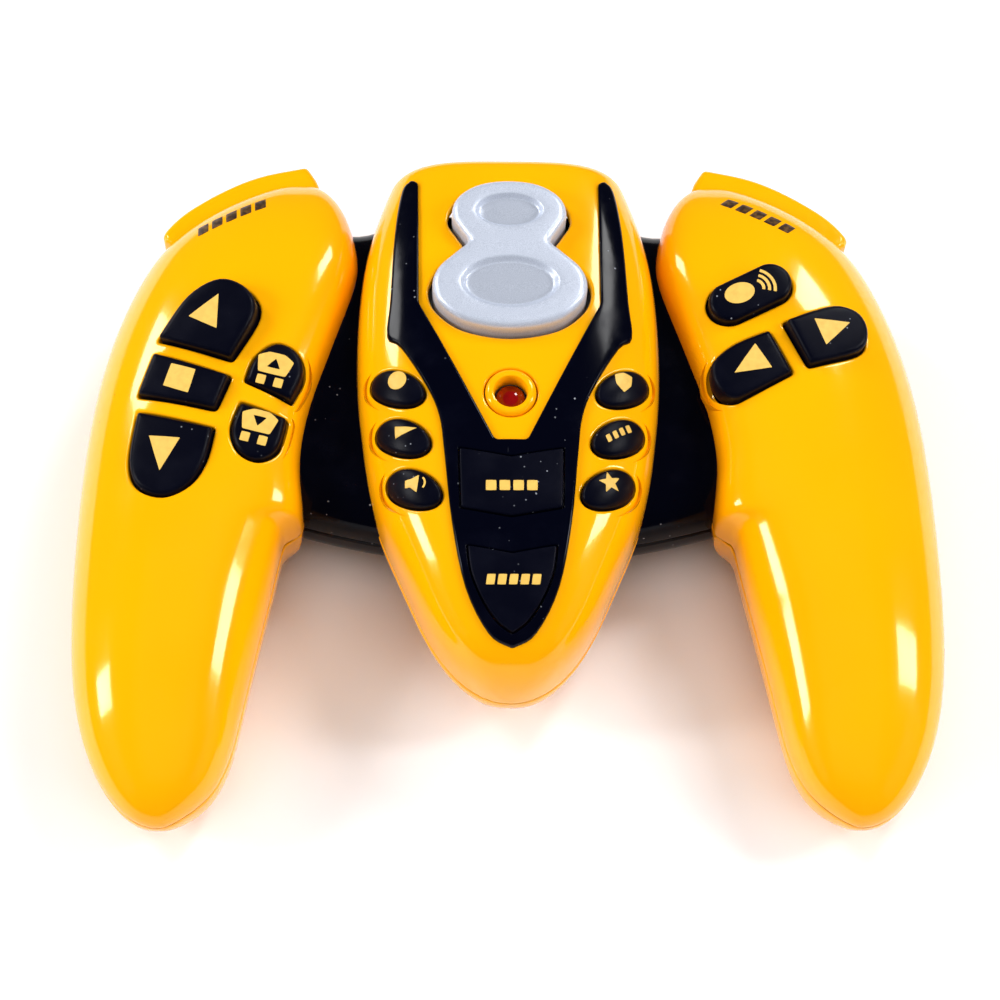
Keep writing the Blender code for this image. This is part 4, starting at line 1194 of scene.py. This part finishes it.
def face_keys():
    tops = {}
    for name, line, matrix in (("key_mode", UPPER_KEY, CENTRE), ("key_select", LOWER_KEY, NOSE)):
        level = height_on(POD, matrix)
        tops[name] = lambda x, y, level=level: level(x, y) + POD_LIFT + 0.2
        slab(f"{name}_cap", Inset(line, -0.22), tops[name], -2.6, matrix, "key_rubber", name,
             [name], rim=0.28, steps=4)
    return tops


def bars(name, start, step, count, size, turn, top, matrix, body, finish=None, slant=0.0):
    """A row of small blocks, in place of a printed word."""
    c, s = math.cos(math.radians(turn)), math.sin(math.radians(turn))
    for k in range(count):
        cx, cy = start[0] + step * k * c, start[1] + step * k * s
        w, h = size[0] / 2, size[1] / 2
        box = [(-w - slant, -h), (w - slant, -h), (w + slant, h), (-w + slant, h)]
        turned = [(cx + x * c - y * s, cy + x * s + y * c) for x, y in box]
        mark(f"{name}_{k + 1}", flat(turned), top, matrix, body, finish=finish)


def wave(cx, cy, radius, width, turn, spread=42):
    """A curved band, as for sound or signal."""
    line = []
    for r, way in ((radius + width / 2, 1), (radius - width / 2, -1)):
        for k in range(7):
            t = math.radians(turn + way * spread * (k / 3 - 1))
            line.append((cx + r * math.cos(t), cy + r * math.sin(t)))
    return flat(line, 0.05, (0, 6, 7, 13))


def badge(cx, cy, size, turn, up):
    """A generic rounded plate with an arrow cut out of it and two short feet."""
    c, s = math.cos(math.radians(turn)), math.sin(math.radians(turn))
    place = lambda pts: [(cx + size * (x * c - y * s), cy + size * (x * s + y * c)) for x, y in pts]
    plate = [(-0.38, -0.16), (0.38, -0.16), (0.50, 0.30), (0.22, 0.46), (-0.22, 0.46), (-0.50, 0.30)]
    body = flat(place(plate), 0.3)
    if up:
        arrow = place([(-0.18, 0.02), (0.18, 0.02), (0.0, 0.30)])
    else:
        arrow = place([(-0.18, 0.28), (0.0, 0.0), (0.18, 0.28)])
    feet = [flat(place([(x - 0.12, -0.50), (x + 0.12, -0.50), (x + 0.12, -0.24), (x - 0.12, -0.24)]))
            for x in (-0.24, 0.24)]
    return body, flat(arrow), feet


def key_marks(tops):
    triangles = {
        "key_up": (LEFT_OUT, [(2.8, 15.0), (7.7, 12.4), (7.9, 18.9)]),
        "key_stop": (LEFT_OUT, [(-1.2, 2.4), (3.1, 0.8), (4.3, 5.0), (0.1, 6.4)]),
        "key_down": (LEFT_OUT, [(-1.3, -13.0), (2.0, -7.3), (-3.3, -6.6)]),
        "key_left": (RIGHT_IN, [(-2.8, 5.0), (3.7, 6.0), (1.0, 10.5)]),
        "key_right": (RIGHT_OUT, [(-3.3, 10.2), (1.1, 14.7), (-5.2, 15.0)]),
    }
    for name, (matrix, points) in triangles.items():
        mark(f"{name}_mark", flat(points, 0.15), tops[name], matrix, name)
    for name, at, up in (("key_raise", (0.9, 5.6), True), ("key_lower", (-1.4, -4.9), False)):
        body, arrow, feet = badge(*at, 6.3, -14, up)
        mark(f"{name}_mark", body, tops[name], LEFT_IN, name, holes=[arrow])
        for k, foot in enumerate(feet):
            mark(f"{name}_mark_foot_{k + 1}", foot, tops[name], LEFT_IN, name)
    top = tops["key_signal"]
    mark("key_signal_mark", Oval(-1.2, 20.0, 2.7, 1.9, 20, 28), top, RIGHT_IN, "key_signal")
    for k, radius in enumerate((1.5, 2.5, 3.5)):
        mark(f"key_signal_wave_{k + 1}", wave(1.5, 20.9, radius, 0.55, 32), top, RIGHT_IN, "key_signal")

    mark("key_record_mark", Oval(-19.0, 9.3, 1.55, 1.75, 0, 28), tops["key_record"], CENTRE, "key_record")
    play = [(-19.2, -1.3), (-15.6, 0.2), (-19.3, 0.9)]
    mark("key_play_mark", flat(play), tops["key_play"], CENTRE, "key_play")
    speaker = [(-17.5, -10.2), (-16.7, -10.2), (-15.6, -11.2), (-15.2, -8.2), (-16.5, -8.8), (-17.5, -8.9)]
    mark("key_sound_mark", flat(speaker, 0.08), tops["key_sound"], CENTRE, "key_sound")
    mark("key_sound_wave", wave(-15.6, -9.6, 1.35, 0.35, 0), tops["key_sound"], CENTRE, "key_sound")
    shield = [(19.0, 7.2), (20.3, 8.6), (20.5, 10.4), (19.0, 11.0), (17.5, 10.4), (17.7, 8.6)]
    mark("key_shield_mark", flat(shield, 0.25), tops["key_shield"], CENTRE, "key_shield")
    bars("key_auto_mark", (16.2, -1.5), 1.35, 4, (0.8, 1.25), 33, tops["key_auto"], CENTRE,
         "key_auto", slant=0.1)
    star = []
    for k in range(10):
        radius, turn = (1.9, 0.85)[k % 2], math.pi * (k + 0.4) / 5 + math.pi / 2
        star.append((16.2 + radius * math.cos(turn), -9.3 + radius * math.sin(turn)))
    mark("key_guard_mark", flat(star, 0.12), tops["key_guard"], CENTRE, "key_guard")
    bars("key_mode_mark", (-3.4, -10.4), 2.25, 4, (1.7, 1.75), 0, tops["key_mode"], CENTRE, "key_mode")
    bars("key_select_mark", (-3.5, -6.2), 1.85, 5, (1.35, 1.7), 0, tops["key_select"], NOSE,
         "key_select", slant=0.12)
    prints = (("left", LEFT_OUT, (3.3, 35.0), 26), ("right", RIGHT_OUT, (-17.2, 40.8), -30))
    for hand, matrix, start, turn in prints:
        level = height_on(GRIPS[hand], matrix)
        bars(f"{hand}_grip_print", start, 2.75, 5, (2.0, 2.2), turn, level, matrix, "handset",
             SHELL_INK, 0.35)


# ================================================================ triggers, feet, door and the rest
TRIGGER = [(-61.4, 44.9), (-58.2, 43.9), (-52.0, 47.9), (-45.0, 51.4), (-38.5, 50.6), (-34.6, 51.8),
           (-33.9, 56.9), (-36.2, 61.55), (-44.6, 59.4), (-51.2, 56.1), (-57.6, 51.4), (-61.1, 47.2)]


def triggers():
    for hand, side in HANDS:
        points = mirrored(TRIGGER, side)
        sharp = (0, 7) if side > 0 else (len(points) - 1, len(points) - 8)
        slab(f"{hand}_trigger_cap", Outline(points, sharp, 6, 0.9), TRIGGER_HIGH, TRIGGER_LOW, Matrix(),
             "yellow_gloss", f"{hand}_trigger", [f"{hand}_trigger"], rim=1.1, low_rim=0.8)
        pin = placed(side * -36.6, 53.2, 0)
        axle = [(0.0, 11.3), (0.8, 11.3), (1.0, 11.5), (1.0, 22.7), (0.8, 22.9), (0.0, 22.9)]
        lathe(f"{hand}_trigger_axle", axle, pin, "steel", "handset", [f"{hand}_trigger_pin"], 32)


def feet_and_door():
    for hand, side in HANDS:
        line = Outline(mirrored(FOOT, side), (0, 1, 2, 3), 4, 3.6)
        slab(f"{hand}_foot", line, 1.2, 0.0, Matrix(), "foot_rubber", "handset",
             [f"{hand}_foot_pad"], rim=0.05, low_rim=0.3, steps=1, pitch=3)
    x0, y0, x1, y1 = DOOR
    corners = [(x0 + 0.3, y0 + 0.3), (x1 - 0.3, y0 + 0.3), (x1 - 0.3, y1 + 0.6), (x0 + 0.3, y1 + 0.6)]
    slab("battery_door_panel", Outline(corners, (0, 1, 2, 3), 8, 1.5), 3.2, 1.4, Matrix(), "black_gloss",
         "battery_cover", ["battery_door"], holes=[Oval(0, 6, 2.3, 2.3)], rim=0.1, low_rim=0.35,
         steps=1, pitch=3)
    for k in range(5):
        y = 11.0 + 1.8 * k
        rib = Oval(0, y, 0.42, 0.42, reach=7.0 - k, count=20)
        slab(f"battery_door_rib_{k + 1}", rib, 1.6, 1.05, Matrix(),
             "black_gloss", "battery_cover", rim=0.02, low_rim=0.2, steps=1, pitch=2)


def window(pod):
    back = Matrix.Translation((0, POD_BACK, 28.2)) @ Matrix.Rotation(math.radians(90), 4, "X")
    pane = Outline([(-7, -2.6), (7, -2.6), (7, 2.6), (-7, 2.6)], (0, 1, 2, 3), 4, 1.2)
    cutter = block(pane.ring(0.3), -3, 4)
    upright = Matrix.Rotation(math.radians(90), 4, "X")
    cutter.data.transform(Matrix.Translation((0, POD_BACK * MM, 28.2 * MM)) @ upright)
    carve(pod, cutter)
    slab("ir_window_pane", pane, 1.5, -0.1, back, "window_black", "handset", ["ir_window"],
         rim=0.05, low_rim=0.4, steps=1, pitch=2)


def finish_carried_nodes():
    """Gives each CAD node that still shows its own procedural material."""
    slots = {s["node"]: s["material_slot"] for s in frame["record"]["subparts"]}
    for name, node in frame["nodes"].items():
        for holder in node.material_slots:
            holder.material = FINISHES[slots[name]]


# ================================================================ stage, light and camera
def stage():
    floor = bpy.data.meshes.new("floor")
    floor.from_pydata([(-4, -4, 0), (4, -4, 0), (4, 4, 0), (-4, 4, 0)], [], [(0, 1, 2, 3)])
    ground = bpy.data.objects.new("floor", floor)
    SCENE.collection.objects.link(ground)
    r = Recipe("floor_white", Roughness=0.6)
    r.colour(r.mix(r.noise(3, 1.0), (0.93, 0.92, 0.93), (0.95, 0.94, 0.95)))
    floor.materials.append(r.material)
    ground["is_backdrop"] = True
    world = bpy.data.worlds.new("studio")
    world.use_nodes = True
    world.node_tree.nodes["Background"].inputs["Color"].default_value = (0.95, 0.96, 1.0, 1)
    world.node_tree.nodes["Background"].inputs["Strength"].default_value = WORLD
    SCENE.world = world


WORLD = 0.06
LIGHTS = {
    # name: (azimuth from the back, elevation, width, height, watts), each a metre away
    "left_window": (-92, 30, 0.15, 0.32, 3.2),
    "back_left_window": (-54, 34, 0.20, 0.30, 3.2),
    "back_right_window": (38, 46, 0.18, 0.28, 3.2),
    "right_window": (86, 38, 0.15, 0.36, 3.2),
}


def bearing(azimuth, elevation, reach=1.0):
    turn, rise = math.radians(azimuth), math.radians(elevation)
    return Vector((math.sin(turn) * math.cos(rise), math.cos(turn) * math.cos(rise), math.sin(rise))) * reach


def add_light(name, place, width, height, watts):
    source = bpy.data.lights.new(name, "AREA")
    source.shape = "RECTANGLE"
    source.size, source.size_y, source.energy = width, height, watts
    holder = bpy.data.objects.new(name, source)
    holder.location = place
    holder.rotation_euler = (-place).to_track_quat("-Z", "Y").to_euler()
    SCENE.collection.objects.link(holder)
    return holder


def light():
    for name, (azimuth, elevation, width, height, watts) in LIGHTS.items():
        add_light(name, bearing(azimuth, elevation), width, height, watts)
    fills = (
        add_light("ceiling_fill", bearing(180, 78, 1.6), 1.6, 1.6, 11.0),
        add_light("left_fill", bearing(-112, 24, 1.3), 1.0, 0.6, 7.0),
        add_light("right_fill", bearing(112, 24, 1.3), 1.0, 0.6, 7.0),
    )
    for fill in fills:
        fill.visible_glossy = False


def camera():
    data = bpy.data.cameras.new("camera")
    data.sensor_width = 36
    data.lens = 83.0
    data.shift_x, data.shift_y = -0.008, -0.030
    data.clip_start = 0.01
    holder = bpy.data.objects.new("camera", data)
    holder.location = CAMERA_AT
    holder.rotation_euler = [math.radians(a) for a in CAMERA_TURN]
    SCENE.collection.objects.link(holder)
    SCENE.camera = holder


CAMERA_AT = (-0.0112, -0.1888, 0.3666)
CAMERA_TURN = (28.6, -1.5, -0.6)


def build():
    grip_uppers()
    grip_lowers()
    pod = centre_upper()
    nose()
    bridge()
    inlay()
    window(pod)
    lamp()
    rocker()
    tops = {**grip_keys(), **oval_keys(), **face_keys()}
    key_marks(tops)
    triggers()
    feet_and_door()
    finish_carried_nodes()
    stage()
    light()
    camera()
    SCENE.view_settings.view_transform = "Standard"


build()
[[list(corner) for corner in box] for box in (CAD_BOX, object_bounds())]
